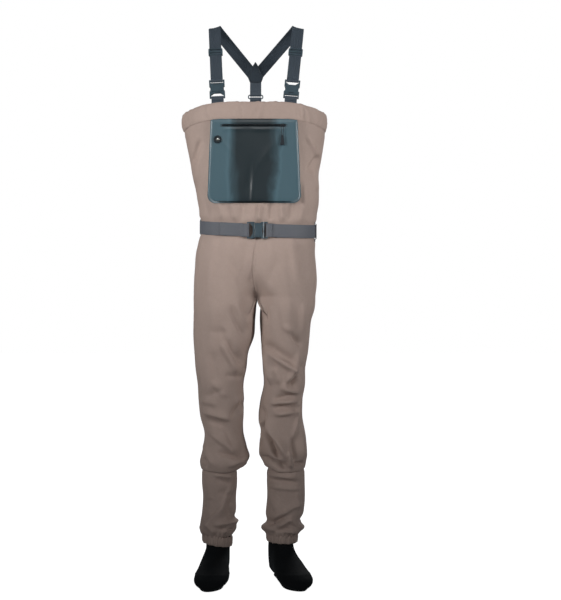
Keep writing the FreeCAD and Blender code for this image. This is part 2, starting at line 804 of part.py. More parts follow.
def belt_angle(x):
    """The angle at which the belt's front crosses x."""
    low, high = 180.0, 360.0
    for _ in range(40):
        angle = (low + high) / 2
        low, high = (angle, high) if belt_station(angle, dim("belt_stand_off")).x < x else (low, angle)
    return angle


def belt_loop(bar_at, toward):
    """The webbing's turn round one of the belt buckle's bars, from the layer next to the body to the outer one."""
    place = belt_buckle_place()
    points = [place.multVec(Vector(0, y, z)) for y, z in loop_points(bar_at, toward, 9.0, 13.0)]
    return points if points[0].y > points[-1].y else points[::-1]


def make_belt():
    """The main webbing runs from the socket round the back; the adjusting end is doubled through the plug."""
    width, thick = dim("belt_width"), dim("web_thick")
    stand_off, split, gap = dim("belt_stand_off"), dim("belt_split_x"), dim("fit_gap")
    up = Vector(0, 0, 1)
    bar_at = dim("buckle_length") / 2 - dim("bar_radius")

    socket_loop = belt_loop(-bar_at, -1)
    first = belt_angle(socket_loop[0].x + 9.0) - 360.0
    last = belt_angle(split)
    path = socket_loop[::-1] + [belt_station(angle, stand_off) for angle in steps(first, last, 46)]
    shape_part("belt_webbing", ribbon([(point, up) for point in path], width, thick))

    plug_loop = belt_loop(bar_at, 1)
    inner = [belt_station(belt_angle(x), stand_off) for x in steps(split + gap, plug_loop[0].x - 8.0, 4)]
    outer = [
        belt_station(belt_angle(x), stand_off + thick + gap)
        for x in steps(plug_loop[-1].x - 8.0, split - dim("belt_overlap"), 5)
    ]
    path = inner + plug_loop + outer
    shape_part("belt_end", ribbon([(point, up) for point in path], width - 0.6, thick))
    make_buckle("belt_buckle", "belt_width", belt_buckle_place(), {"upper": 1, "lower": -1})

    loops = []
    for angle in (-14.0, 62.0, 118.0, 166.0):
        side = (belt_station(angle + 2, 0) - belt_station(angle - 2, 0)).normalize()
        outward = side.cross(up)
        middle = belt_station(angle, 0)
        lift = dim("belt_stand_off") + dim("web_thick") / 2 + dim("fit_gap") + dim("loop_thick") / 2
        low = dim("loop_thick") / 2 + dim("fit_gap") + 0.4
        half = dim("loop_height") / 2
        rows = [(-half, low), (-half + 6, low), (-half + 9, lift), (half - 9, lift), (half - 6, low), (half, low)]
        stations = []
        for height, out in rows:
            surface = torso_point(middle.z + height, angle, 0)
            base = Vector(middle.x, middle.y, 0) if out == lift else Vector(surface.x, surface.y, 0)
            lift_off = out + (dim("loop_thick") if out == low else 0.0)
            stations.append((base + outward * lift_off + up * (middle.z + height), side))
        loops.append(ribbon(stations, dim("loop_width"), dim("loop_thick")))
    shape_part("belt_loops", Part.makeCompound(loops))


# ---------------------------------------------------------------- the suspenders

def strap_line(side):
    """The foot of a front strap and its unit direction, up and back to the shoulder."""
    sign = SIDES[side]
    inside = torso_front(dim("tab_x") + dim("strap_width") / 2, dim("hem_top"), hem_inner())
    foot = Vector(sign * dim("tab_x"), inside + dim("fit_gap") + dim("web_thick") / 2, dim("strap_foot_level"))
    top = Vector(sign * dim(f"{side}_strap_top_x"), foot.y + dim("strap_lean"), dim("strap_front_top"))
    return foot, (top - foot).normalize(), (top - foot).Length


def strap_place(side, along):
    foot, direction, _ = strap_line(side)
    return frame(foot + direction * along, Vector(1, 0, 0), direction)


def make_slider(label, place):
    """A strap slider: a front plate with two slots, two cheeks and a back bar round the webbing."""
    body = doc.addObject("PartDesign::Body", label)
    half, tall = "dims.slider_width / 2", "dims.slider_height / 2"
    deep = "(dims.slider_gap + 2 * dims.slider_plate)"
    outline = outline_sketch(body, "XZ_Plane", [
        (f"-{half}", f"-{tall}"), (half, f"-{tall}"), (half, tall), (f"-{half}", tall),
    ], f"{label}_outline")
    block = pad(body, outline, deep, f"{label}_block")
    round_edges(body, block, 3.5, lambda e: is_along(e, Vector(0, 1, 0)), f"{label}_corners")
    across, gap = "(dims.strap_width / 2 + 0.6)", "dims.slider_gap / 2"
    channel = outline_sketch(body, "XY_Plane", [
        (f"-{across}", f"-{gap}"), (across, f"-{gap}"), (across, gap), (f"-{across}", gap),
    ], f"{label}_channel_outline")
    pocket(body, channel, "dims.slider_height + 6", f"{label}_channel")
    for name, low, high in (("upper", "2.4", f"{tall} - 3.2"), ("lower", f"3.2 - {tall}", "-2.4")):
        slot = outline_sketch(body, "XZ_Plane", [
            ("-dims.strap_width / 2 + 2", low), ("dims.strap_width / 2 - 2", low),
            ("dims.strap_width / 2 - 2", high), ("-dims.strap_width / 2 + 2", high),
        ], f"{label}_{name}_slot_outline")
        last = pocket(body, slot, f"{deep} + 4", f"{label}_{name}_slot")
    round_edges(
        body, last, 0.9,
        lambda e: is_along(e, Vector(1, 0, 0), dim("slider_width") - 8) and abs(e.CenterOfMass.y) > 4.5,
        f"{label}_soft",
    )
    body.Placement = place
    return keep(body, label)


def shoulder_stations(side):
    """Over the shoulder: up from the slider, round the top, and down across the back to the yoke."""
    sign = SIDES[side]
    foot, direction, length = strap_line(side)
    start = foot + direction * dim("slider_along")
    front_top = foot + direction * length
    back_x = dim(f"{side}_strap_top_x") - 11.0
    back_top = Vector(sign * back_x, dim("centre_depth") + 8.0, dim("strap_front_top"))
    yoke = yoke_place().multVec(Vector(sign * 2.0, sign * yoke_layer(), -5.0))
    down = (yoke - back_top).normalize()
    front_side = Vector(1, 0, 0)
    normal = yoke_place().Rotation.multVec(Vector(0, 1, 0))
    back_side = normal.cross(down).normalize()
    if back_side.x < 0:
        back_side = back_side * -1
    stations = [(start + direction * dim("fit_gap"), front_side), (front_top, front_side)]
    pull = 62.0
    over = hermite(front_top, direction * pull, back_top, down * pull, 9)[1:-1]
    for i, point in enumerate(over, start=1):
        share = i / (len(over) + 1)
        stations.append((point, front_side * (1 - share) + back_side * share))
    stations += [(back_top, back_side), (yoke, back_side)]
    return stations


def make_suspenders():
    """The two buckles face opposite ways, so that they can also be clipped to each other."""
    width, thick = dim("strap_width"), dim("web_thick")
    across = Vector(1, 0, 0)
    for side, sign in SIDES.items():
        foot, direction, _ = strap_line(side)
        place = strap_place(side, dim("buckle_along"))
        plug_up = 1 if side == "left" else -1
        buckle_place = frame(place.Base, across, direction * plug_up)
        make_buckle(f"suspender_buckle_{side}", "strap_width", buckle_place, {"outer": sign, "inner": -sign})

        # the tab comes out of the hem, goes round the lower bar and is doubled back a little
        bar_at = dim("buckle_length") / 2 - dim("bar_radius")
        loop = [place.multVec(Vector(0, y, z)) for y, z in loop_points(-bar_at, -1, 7.0, 9.0)]
        if loop[-1].y < loop[0].y:
            loop.reverse()
        low = Vector(foot.x, foot.y, foot.z - dim("tab_inside"))
        bend = Vector(foot.x, foot.y, foot.z - 4.0)
        leaning = place.Rotation.multVec(across)
        stations = [(point, leaning) for point in loop] + [(bend, across), (low, across)]
        shape_part(f"suspender_tab_{side}", ribbon(stations, width, thick))

        # the lower webbing: round the upper bar, doubled up to the slider
        reach = dim("slider_along") - dim("buckle_along") - bar_at
        shape_part(f"front_strap_{side}", local_loop(bar_at, 1, 9.0, reach, width), place)
        make_slider(f"strap_slider_{side}", strap_place(side, dim("slider_along")))
        shape_part(f"shoulder_strap_{side}", ribbon(shoulder_stations(side), width, thick))


def yoke_place():
    """The yoke lies in the plane of the two shoulder straps where they meet behind the neck."""
    middle = Vector(0, dim("centre_depth") + dim("yoke_behind"), dim("yoke_level"))
    return frame(middle, Vector(1, 0, 0), Vector(0, -0.643, 0.766))


def yoke_layer():
    """The spacing of the three webbing layers that lie between the yoke's patches."""
    return dim("web_thick") + dim("fit_gap")


def make_yoke():
    """Two patches that hold both shoulder straps and the rear strap between them."""
    outline = [(-17, -20), (17, -20), (22.5, -4), (5.5, 34), (0, 43), (-5.5, 34), (-22.5, -4)]
    inner = 1.5 * dim("web_thick") + 2 * dim("fit_gap")
    thick = 1.6
    patches = []
    for depth in (inner, -inner - thick):
        face = Part.Face(Part.makePolygon([Vector(x, depth, z) for x, z in outline + outline[:1]]))
        patch = face.extrude(Vector(0, thick, 0))
        patch = patch.makeFillet(2.5, [e for e in patch.Edges if is_along(e, Vector(0, 1, 0))])
        patches.append(patch)
    shape_part("yoke_patches", Part.makeCompound(patches), yoke_place())


def ring_place():
    return frame(Vector(0, dim("centre_depth") + 110.0, dim("ring_level")), Vector(1, 0, 0), Vector(0, -0.16, 1))


def make_rear():
    """The rear strap hangs from the yoke and holds the ring, which a tab ties to the back of the hem."""
    ring = doc.addObject("PartDesign::Body", "rear_ring")
    half, tall, wire = "dims.ring_width / 2", "dims.ring_height / 2", "dims.ring_wire"
    outer = outline_sketch(ring, "XZ_Plane", [
        (f"-{half}", f"-{tall}"), (half, f"-{tall}"), (half, tall), (f"-{half}", tall),
    ], "ring_outline")
    block = pad(ring, outer, wire, "ring_block")
    hole = outline_sketch(ring, "XZ_Plane", [
        (f"{wire} - {half}", f"{wire} - {tall}"), (f"{half} - {wire}", f"{wire} - {tall}"),
        (f"{half} - {wire}", f"{tall} - {wire}"), (f"{wire} - {half}", f"{tall} - {wire}"),
    ], "ring_hole_outline")
    last = pocket(ring, hole, "dims.ring_wire + 4", "ring_hole")
    corners = lambda e: is_along(e, Vector(0, 1, 0)) and abs(e.CenterOfMass.x) > dim("ring_width") / 2 - 0.1
    last = round_edges(ring, last, 5.6, corners, "ring_corners")
    inner = lambda e: is_along(e, Vector(0, 1, 0)) and abs(e.CenterOfMass.x) < dim("ring_width") / 2 - 1
    last = round_edges(ring, last, 2.6, inner, "ring_inner_corners")
    ring.Placement = ring_place()
    keep(ring, "rear_ring")

    place = ring_place()
    thick, width = dim("web_thick"), dim("strap_width")
    turn = dim("ring_wire") / 2 * 1.45 + dim("fit_gap") + thick / 2
    rod = dim("ring_height") / 2 - dim("ring_wire") / 2

    def round_rod(toward):
        points = [(-thick * 0.62, toward * (rod + 11)), (-turn, toward * (rod + 3))]
        for angle in steps(0.0, 180.0, 7):
            radians = math.radians(angle)
            points.append((-turn * math.cos(radians), toward * (rod - turn * math.sin(radians) * 0.95)))
        points += [(turn, toward * (rod + 3)), (thick * 0.62, toward * (rod + 11))]
        path = [place.multVec(Vector(0, y, z)) for y, z in points]
        return path if path[-1].y > path[0].y else path[::-1]

    across = Vector(1, 0, 0)
    upper = round_rod(1)
    ends = [yoke_place().multVec(Vector(0, 0, along)) for along in (-22.0, -6.0)]
    shape_part("rear_strap", ribbon([(point, across) for point in upper + ends], width - 1, thick))
    lower = round_rod(-1)
    rim = torso_point(dim("hem_top"), 90.0, hem_inner())
    inside = rim.y - dim("fit_gap") - thick / 2
    path = lower[::-1] + [Vector(0, inside, rim.z + 1.0), Vector(0, inside, rim.z - dim("tab_inside"))]
    shape_part("rear_tab", ribbon([(point, across) for point in path], width - 1, thick))


# ---------------------------------------------------------------- the chest pocket

def pocket_front_y():
    return torso_point(dim("pocket_top"), 270.0).y - dim("pocket_proud")


def pocket_outline(grow, y):
    """The pocket's outline as a solid along Y: sides that spread downwards and large lower corners."""
    top, bottom = dim("pocket_top") - 1.0 + grow, dim("pocket_bottom") - grow
    half_top, half_bottom = dim("pocket_half_top") + grow, dim("pocket_half_bottom") + grow
    corner = dim("pocket_corner")
    points = [
        Vector(-half_bottom, y, bottom), Vector(half_bottom, y, bottom),
        Vector(half_top, y, top), Vector(-half_top, y, top),
    ]
    face = Part.Face(Part.makePolygon(points + points[:1]))
    solid = face.extrude(Vector(0, 140, 0))
    low = [e for e in solid.Edges if is_along(e, Vector(0, 1, 0)) and e.CenterOfMass.z < bottom + 5]
    solid = solid.makeFillet(corner, low)
    high = [e for e in solid.Edges if is_along(e, Vector(0, 1, 0)) and e.CenterOfMass.z > top - 5]
    return solid.makeFillet(4.0, high)


def torso_envelope(offset):
    return column(torso_point, steps(1030.0, 1330.0, 9), offset)


def make_pocket():
    front = pocket_front_y()
    skin, gap = dim("pocket_skin"), dim("fit_gap")
    backing = pocket_outline(dim("backing_rim"), front + 4).common(torso_envelope(gap + dim("backing_thick")))
    backing = backing.cut(torso_envelope(gap))
    half = Part.makeBox(600, 400, 600, Vector(-300, dim("centre_depth") - 400, 900))
    shape_part("pocket_back", backing.common(half))

    shell = pocket_outline(0.0, front).cut(torso_envelope(2 * gap + dim("backing_thick"))).common(half)
    shell = shell.cut(pocket_outline(-skin, front + skin))
    slot = Part.makeBox(
        2 * dim("zip_half"), 3 * skin, dim("zip_slot"),
        Vector(-dim("zip_half"), front - skin, dim("zip_level") - dim("zip_slot") / 2),
    )
    shape_part("pocket_front", shell.cut(slot))
    make_zipper(front)
    make_stud(front)


def make_zipper(front):
    """Two tapes and two rows of coil with a slit between them, end stops, a slider and its swinging pull."""
    gap, slit, level = dim("fit_gap"), dim("zip_post_gap"), dim("zip_level")
    length = 2 * dim("zip_half")
    tape_y = front + dim("pocket_skin") + gap
    tapes, coils, stops = [], [], []
    for sign in (-1, 1):
        low = level + slit / 2 if sign > 0 else level - slit / 2 - dim("zip_tape_width")
        tapes.append(Part.makeBox(length + 8, 0.7, dim("zip_tape_width"), Vector(-length / 2 - 4, tape_y, low)))
        row = level + sign * (slit / 2 + 1.2)
        coil = Part.makeCylinder(0.9, length - 6, Vector(3 - length / 2, tape_y - 1.0, row), Vector(1, 0, 0))
        coils.append(coil)
        end = sign * (dim("zip_half") - 1.6)
        stops.append(Part.makeBox(2.2, 2.0, dim("zip_slot") - 0.8, Vector(end - 1.1, tape_y - 2.1, level - 3.1)))
    shape_part("zip_tapes", Part.makeCompound(tapes))
    shape_part("zip_coils", Part.makeCompound(coils))
    shape_part("zip_stops", Part.makeCompound(stops))

    # the slider: a front plate and a thin back plate joined by a post that runs in the slit
    body, x = dim("slider_body"), dim("slider_start_x")
    face = tape_y - 2.4
    plate = Part.makeBox(body, 1.4, 9.0, Vector(x - body / 2, face - 1.4, level - 4.5))
    plate = plate.makeFillet(2.4, [e for e in plate.Edges if is_along(e, Vector(0, 1, 0))])
    post = Part.makeBox(2.4, 4.6, slit - 2 * gap, Vector(x + body / 2 - 5.2, face - 0.4, level - slit / 2 + gap))
    back = Part.makeBox(body - 2, 1.2, 7.0, Vector(x - body / 2 + 1, tape_y + 1.1, level - 3.5))
    arch_outer = Part.makeBox(1.8, 3.8, 8.0, Vector(x - 0.9, face - 5.0, level - 4.0))
    arch_inner = Part.makeBox(4.0, 2.6, 5.0, Vector(x - 2.0, face - 4.0, level - 2.5))
    slider = plate.fuse([post, back, arch_outer.cut(arch_inner)]).removeSplitter()
    shape_part("zip_slider", slider)
    make_pull(Vector(x, face - 2.7, level))


def rounded_path(points, share=0.45):
    """Straight runs joined by tangent arcs, each as large as its two runs allow."""
    edges, at = [], points[0]
    for before, corner, after in zip(points, points[1:], points[2:]):
        back, ahead = (before - corner), (after - corner)
        reach = share * min(back.Length, ahead.Length)
        back.normalize()
        ahead.normalize()
        enter, leave = corner + back * reach, corner + ahead * reach
        turn = math.pi - back.getAngle(ahead)
        radius = reach / math.tan(turn / 2)
        middle = corner + (back + ahead).normalize() * (radius / math.cos(turn / 2) - radius)
        edges.append(Part.LineSegment(at, enter).toShape())
        edges.append(Part.Arc(enter, middle, leave).toShape())
        at = leave
    edges.append(Part.LineSegment(at, points[-1]).toShape())
    return Part.Wire(edges)


# the pull cord's route as x across and z up from the middle of the slider's arch
PULL_ROUTE = [
    (-1.4, -28.0), (-2.0, -20.2), (-3.0, -11.8), (-3.1, -4.8), (-2.4, 0.6),
    (2.4, 0.6), (3.1, -4.8), (3.0, -11.8), (2.0, -20.2), (1.4, -28.0),
]


def make_pull(arch):
    """The doubled cord through the slider's arch and the moulded grip on its ends."""
    points = [arch + Vector(x, 0, z) for x, z in PULL_ROUTE]
    path = rounded_path(points)
    profile = Part.Wire([Part.makeCircle(dim("pull_cord") / 2, points[0], points[1] - points[0])])
    tube = path.makePipeShell([profile], True, False)
    expected = math.pi * (dim("pull_cord") / 2) ** 2 * path.Length
    print(f"cord length {path.Length:.1f}, volume {tube.Volume:.1f} of {expected:.1f}")
    shape_part("zip_pull_cord", tube)

    half, long, thick = dim("grip_width") / 2, dim("grip_length"), dim("grip_thick")
    top = PULL_ROUTE[0][1]
    right_edge = [(3.0, top), (half - 1.4, top - long * 0.55), (half, top - long + 3), (half - 2, top - long)]
    outline = right_edge + [(-x, z) for x, z in reversed(right_edge)]
    face = Part.Face(Part.makePolygon([arch + Vector(x, -thick / 2, z) for x, z in outline + outline[:1]]))
    grip = face.extrude(Vector(0, thick, 0))
    grip = grip.makeFillet(1.1, [e for e in grip.Edges if abs(e.CenterOfMass.y - arch.y) > thick / 2 - 0.1])
    shape_part("zip_pull_grip", grip)


def make_stud(front):
    """A moulded stud on the pocket's face: a ring and the cap inside it."""
    x, level, radius, height = dim("stud_x"), dim("stud_level"), dim("stud_radius"), dim("stud_height")
    gap = dim("fit_gap")
    place = Placement(Vector(x, front - gap / 2, level), Rotation(Vector(1, 0, 0), 90))
    ring = [(5.2, 0), (radius, 0), (radius, 0.8), (radius - 2.2, height), (6.4, height), (5.2, height - 1.2)]
    cap = [(0, 0), (4.9, 0), (4.9, 1.2), (3.6, 2.1), (0, 2.6)]
    for label, profile in (("pocket_stud_ring", ring), ("pocket_stud_cap", cap)):
        points = [Vector(r, 0, z) for r, z in profile]
        face = Part.Face(Part.makePolygon(points + points[:1]))
        shape_part(label, face.revolve(Vector(), Vector(0, 0, 1), 360), place)


# ---------------------------------------------------------------- build, test and write

def build():
    fill_sheet()
    make_torso()
    make_chest_hem()
    make_crotch_gusset()
    make_legs()
    make_guards()
    make_booties()
    make_belt()
    make_suspenders()
    make_yoke()
    make_rear()
    make_pocket()
    doc.recompute()


def check():
    """Stops before anything is written if an object failed or a sub-part's shape isn't a sound solid."""
    failed = [item.Name for item in doc.Objects if {"Invalid", "Error"} & set(item.State)]
    for item in parts:
        shape = item.Shape
        if shape.isNull() or not shape.isValid() or not shape.Solids or shape.Volume <= 0:
            failed.append(item.Label)
    if failed:
        raise RuntimeError(f"these failed: {failed}")


def write():
    os.makedirs("parts", exist_ok=True)
    whole = FreeCAD.BoundBox()
    for item in parts:
        item.Shape.exportStep(f"parts/{item.Label}.step")
        whole.add(item.Shape.optimalBoundingBox(False))
    lows, highs = (whole.XMin, whole.YMin, whole.ZMin), (whole.XMax, whole.YMax, whole.ZMax)
    print(f"{len(parts)} sub-parts, from {[round(v, 1) for v in lows]} to {[round(v, 1) for v in highs]}")


build()
check()
write()
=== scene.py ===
"""Looks for the stocking-foot chest waders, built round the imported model. Lengths are in millimetres until a mesh
is made. +Z is up, the wearer faces -Y and the wearer's left is +X."""
import math

import bpy
import numpy as np
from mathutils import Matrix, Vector


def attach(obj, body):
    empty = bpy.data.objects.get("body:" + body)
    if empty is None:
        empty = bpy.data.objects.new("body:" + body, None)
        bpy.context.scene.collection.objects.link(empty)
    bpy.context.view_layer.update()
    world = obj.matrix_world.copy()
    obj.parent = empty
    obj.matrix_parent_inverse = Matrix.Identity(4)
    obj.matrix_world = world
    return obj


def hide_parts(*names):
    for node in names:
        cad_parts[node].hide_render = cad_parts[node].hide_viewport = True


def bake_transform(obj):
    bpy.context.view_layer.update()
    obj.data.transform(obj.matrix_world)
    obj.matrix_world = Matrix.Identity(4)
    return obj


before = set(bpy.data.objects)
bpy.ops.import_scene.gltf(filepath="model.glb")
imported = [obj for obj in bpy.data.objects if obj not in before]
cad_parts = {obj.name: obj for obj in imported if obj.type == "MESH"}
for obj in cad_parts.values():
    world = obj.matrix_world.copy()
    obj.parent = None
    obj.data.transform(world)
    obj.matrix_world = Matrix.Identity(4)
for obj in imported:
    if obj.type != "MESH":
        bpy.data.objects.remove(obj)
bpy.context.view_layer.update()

MM = 0.001
CENTRE_Y = 40.4
SIDES = {"right": -1.0, "left": 1.0}
ANKLE_X = {"right": -107.0, "left": 77.0}
ANKLE_HALF_WIDTH, ANKLE_HALF_DEPTH = 34.5, 40.5


# ---------------------------------------------------------------- camera

def add_camera():
    camera = bpy.data.objects.new("camera", bpy.data.cameras.new("camera"))
    bpy.context.scene.collection.objects.link(camera)
    camera.data.sensor_width = 36.0
    camera.data.lens = 75.8
    camera.data.clip_end = 50.0
    camera.location = (0.073, CENTRE_Y * MM - 3.6, 0.79)
    camera.rotation_euler = (math.pi / 2, 0, 0)
    bpy.context.scene.camera = camera


add_camera()


# ---------------------------------------------------------------- the pull cord, the only free cord

PULL_ROUTE = [
    (-1.4, -28.0), (-2.0, -20.2), (-3.0, -11.8), (-3.1, -4.8), (-2.4, 0.6),
    (2.4, 0.6), (3.1, -4.8), (3.0, -11.8), (2.0, -20.2), (1.4, -28.0),
]
ARCH = (78.0, -92.7, 1270.0)
PULL_CORD = 1.8


def add_pull_cord():
    data = bpy.data.curves.new("pull_cord", "CURVE")
    data.dimensions = "3D"
    data.bevel_depth = PULL_CORD / 2 * MM
    data.bevel_resolution = 4
    data.use_fill_caps = True
    spline = data.splines.new("NURBS")
    spline.points.add(len(PULL_ROUTE) - 1)
    for point, (x, z) in zip(spline.points, PULL_ROUTE):
        point.co = ((ARCH[0] + x) * MM, ARCH[1] * MM, (ARCH[2] + z) * MM, 1)
    spline.order_u = 3
    spline.use_endpoint_u = True
    spline.resolution_u = 16
    cord = bpy.data.objects.new("pull_cord", data)
    bpy.context.scene.collection.objects.link(cord)
    return cord


pull_cord = add_pull_cord()


# ---------------------------------------------------------------- numbers and curves

def smooth(low, high, value):
    t = np.clip((value - low) / (high - low), 0, 1)
    return t * t * (3 - 2 * t)


def bell(value, middle, width):
    return np.exp(-((value - middle) / width) ** 2)


def cubic(t, start, start_pull, end, end_pull):
    """The curve that leaves start and reaches end with the given pulls, as t goes from 0 to 1."""
    return (
        start * (2 * t**3 - 3 * t**2 + 1) + start_pull * (t**3 - 2 * t**2 + t)
        + end * (3 * t**2 - 2 * t**3) + end_pull * (t**3 - t**2)
    )


def along_table(rows, height):
    """Smooth values between a table's rows, whose first column is the height: a cubic with mean slopes."""
    rows = np.array(sorted(rows), float)
    height = np.clip(np.asarray(height, float), rows[0, 0], rows[-1, 0])
    z, values = rows[:, 0], rows[:, 1:]
    slopes = np.zeros_like(values)
    slopes[1:-1] = (values[2:] - values[:-2]) / (z[2:] - z[:-2])[:, None]
    slopes[0] = (values[1] - values[0]) / (z[1] - z[0])
    slopes[-1] = (values[-1] - values[-2]) / (z[-1] - z[-2])
    i = np.clip(np.searchsorted(z, height, side="right") - 1, 0, len(z) - 2)
    span = z[i + 1] - z[i]
    t = ((height - z[i]) / span)[..., None]
    span = span[..., None]
    return cubic(t, values[i], slopes[i] * span, values[i + 1], slopes[i + 1] * span)


def resample(points, fractions):
    """Points at the fractions of an open curve's length."""
    run = np.concatenate([[0], np.cumsum(np.linalg.norm(np.diff(points, axis=0), axis=1))])
    at = np.asarray(fractions) * run[-1]
    return np.stack([np.interp(at, run, points[:, k]) for k in range(points.shape[1])], axis=1)


def smooth_path(points, spacing):
    """A Catmull-Rom curve through the points, at an even spacing."""
    points = np.asarray(points, float)
    padded = np.vstack([2 * points[0] - points[1], points, 2 * points[-1] - points[-2]])
    pieces = []
    for a, b, c, d in zip(padded, padded[1:], padded[2:], padded[3:]):
        t = np.linspace(0, 1, 12, endpoint=False)[:, None]
        pieces.append(0.5 * (2 * b + (c - a) * t + (2 * a - 5 * b + 4 * c - d) * t**2 + (3 * b - a - 3 * c + d) * t**3))
    dense = np.vstack(pieces + [points[-1:]])
    length = np.linalg.norm(np.diff(dense, axis=0), axis=1).sum()
    return resample(dense, np.linspace(0, 1, max(2, int(round(length / spacing)) + 1)))


def unit(vector):
    vector = np.asarray(vector, float)
    return vector / np.linalg.norm(vector, axis=-1, keepdims=True)


# ---------------------------------------------------------------- meshes

def make_object(name, points, faces, uv=None):
    """A smooth-shaded mesh object. Points are in millimetres; uv is one pair per face corner, also in millimetres."""
    mesh = bpy.data.meshes.new(name)
    mesh.from_pydata((np.asarray(points, float) * MM).tolist(), [], [tuple(f) for f in faces])
    if uv is not None:
        layer = mesh.uv_layers.new(name="UVMap")
        layer.data.foreach_set("uv", (np.asarray(uv, np.float32) * MM).ravel())
    mesh.shade_smooth()
    mesh.update()
    piece = bpy.data.objects.new(name, mesh)
    bpy.context.scene.collection.objects.link(piece)
    return piece


def grid_faces(rows, columns, closed, first=0):
    """Quads of a grid whose vertices are numbered row by row; closed joins the last column to the first."""
    r = np.arange(rows - 1)[:, None]
    c = np.arange(columns if closed else columns - 1)[None, :]
    n = (c + 1) % columns
    quads = np.stack([r * columns + c, r * columns + n, (r + 1) * columns + n, (r + 1) * columns + c], axis=-1)
    return quads.reshape(-1, 4) + first


def grid_uv(points, closed):
    """Lengths along and across a grid of points, one pair per face corner, in the order of grid_faces."""
    loop = np.concatenate([points, points[:, :1]], axis=1) if closed else points
    along = np.cumsum(np.linalg.norm(np.diff(loop, axis=1), axis=2), axis=1)
    u = np.concatenate([np.zeros((len(loop), 1)), along], axis=1)
    u = np.broadcast_to(u.mean(axis=0), u.shape)
    up = np.cumsum(np.linalg.norm(np.diff(loop, axis=0), axis=2), axis=0)
    v = np.concatenate([np.zeros((1, loop.shape[1])), up], axis=0)
    v = np.broadcast_to(v.mean(axis=1)[:, None], v.shape)
    uv = np.stack([u, v], axis=-1)
    corners = np.stack([uv[:-1, :-1], uv[:-1, 1:], uv[1:, 1:], uv[1:, :-1]], axis=2)
    return corners.reshape(-1, 2)


def grid_object(name, points, closed=False, flip=False):
    rows, columns = points.shape[:2]
    faces = grid_faces(rows, columns, closed)
    uv = grid_uv(points, closed).reshape(-1, 4, 2)
    if flip:
        faces, uv = faces[:, ::-1], uv[:, ::-1]
    return make_object(name, points.reshape(-1, 3), faces, uv.reshape(-1, 2))


def apply_modifiers(piece):
    """Puts the modifiers' result in the mesh, so that nothing is left on the piece."""
    bpy.context.view_layer.update()
    graph = bpy.context.evaluated_depsgraph_get()
    mesh = bpy.data.meshes.new_from_object(piece.evaluated_get(graph))
    piece.modifiers.clear()
    old = piece.data
    piece.data = mesh
    bpy.data.meshes.remove(old)
    return piece


def thicken(piece, thick, levels=0):
    """Gives a sheet its thickness, inwards, and then subdivides it."""
    solid = piece.modifiers.new("thickness", "SOLIDIFY")
    solid.thickness = thick * MM
    solid.offset = -1
    if levels:
        piece.modifiers.new("smooth", "SUBSURF").levels = levels
    return apply_modifiers(piece)


def ribbon(name, path, across, width, thick, ribs=0, rib_depth=0.0, spacing=2.5):
    """Flat webbing along a path, with rounded edges and, where asked, lengthwise ribs. Across is one direction or
    one for each point of the path."""
    across = np.broadcast_to(np.asarray(across, float), (len(path), 3))
    both = smooth_path(np.hstack([np.asarray(path, float), across * 10]), spacing)
    line, side = both[:, :3], unit(both[:, 3:])
    tangent = unit(np.gradient(line, axis=0))
    side = unit(side - tangent * (side * tangent).sum(1, keepdims=True))
    normal = np.cross(tangent, side)
    share = np.linspace(-1, 1, max(9, 6 * ribs + 1))
    face = share * (width / 2 - thick / 2)
    rise = thick / 2 + rib_depth * np.cos(share * math.pi * ribs)
    edge = np.linspace(math.pi / 2, -math.pi / 2, 6)[1:-1]
    profile = np.vstack([
        np.stack([face, rise], 1),
        np.stack([width / 2 - thick / 2 + thick / 2 * np.cos(edge), thick / 2 * np.sin(edge)], 1),
        np.stack([face[::-1], -rise[::-1]], 1),
        np.stack([-(width / 2 - thick / 2 + thick / 2 * np.cos(edge[::-1])), thick / 2 * np.sin(edge[::-1])], 1),
    ])
    points = line[:, None] + side[:, None] * profile[None, :, :1] + normal[:, None] * profile[None, :, 1:]
    count = len(profile)
    faces = [tuple(f) for f in grid_faces(len(line), count, True)]
    uv = grid_uv(points, True).reshape(-1, 4, 2)
    # across the webbing the same on both faces, so that the weave keeps to its edges
    widths = np.concatenate([profile[:, 0], profile[:1, 0]]) + width / 2
    uv[..., 0] = np.broadcast_to(
        np.stack([widths[:-1], widths[1:], widths[1:], widths[:-1]], 1)[None], (len(line) - 1, count, 4)
    ).reshape(-1, 4)
    uv = uv.reshape(-1, 2).tolist()
    for row, order in ((0, range(count)), (len(line) - 1, range(count - 1, -1, -1))):
        faces.append(tuple(row * count + k for k in order))
        uv += [[profile[k, 0] + width / 2, profile[k, 1] + row * spacing] for k in order]
    return make_object(name, points.reshape(-1, 3), faces, uv)


def stitches(name, runs, length=2.4, gap=0.9, radius=0.32):
    """Rows of thread stitches. Each run is a path and the outward direction of the cloth under it."""
    points, faces = [], []
    around = np.linspace(0, 2 * math.pi, 6, endpoint=False)
    rows = [(-0.5, 0.35), (-0.3, 1.0), (0.3, 1.0), (0.5, 0.35)]
    for path, outward in runs:
        path = np.asarray(path, float)
        outward = np.broadcast_to(np.asarray(outward, float), path.shape)
        total = np.linalg.norm(np.diff(path, axis=0), axis=1).sum()
        count = max(1, int(total / (length + gap)))
        both = resample(np.hstack([path, outward]), (np.arange(2 * count) + 0.5) / (2 * count))
        for start, end in zip(both[0::2], both[1::2]):
            middle, out = (start[:3] + end[:3]) / 2, unit(start[3:])
            way = unit(end[:3] - start[:3])
            side = np.cross(way, out)
            base = len(points)
            for along, grow in rows:
                lift = radius * (0.9 if grow == 1.0 else 0.1)
                centre = middle + way * (along * length) + out * lift
                for a in around:
                    points.append(centre + (side * math.cos(a) + out * math.sin(a)) * radius * grow)
            faces += [tuple(f) for f in grid_faces(len(rows), 6, True, base)]
            faces.append(tuple(range(base + 5, base - 1, -1)))
            faces.append(tuple(range(base + 18, base + 24)))
    return make_object(name, points, faces)


# ---------------------------------------------------------------- materials

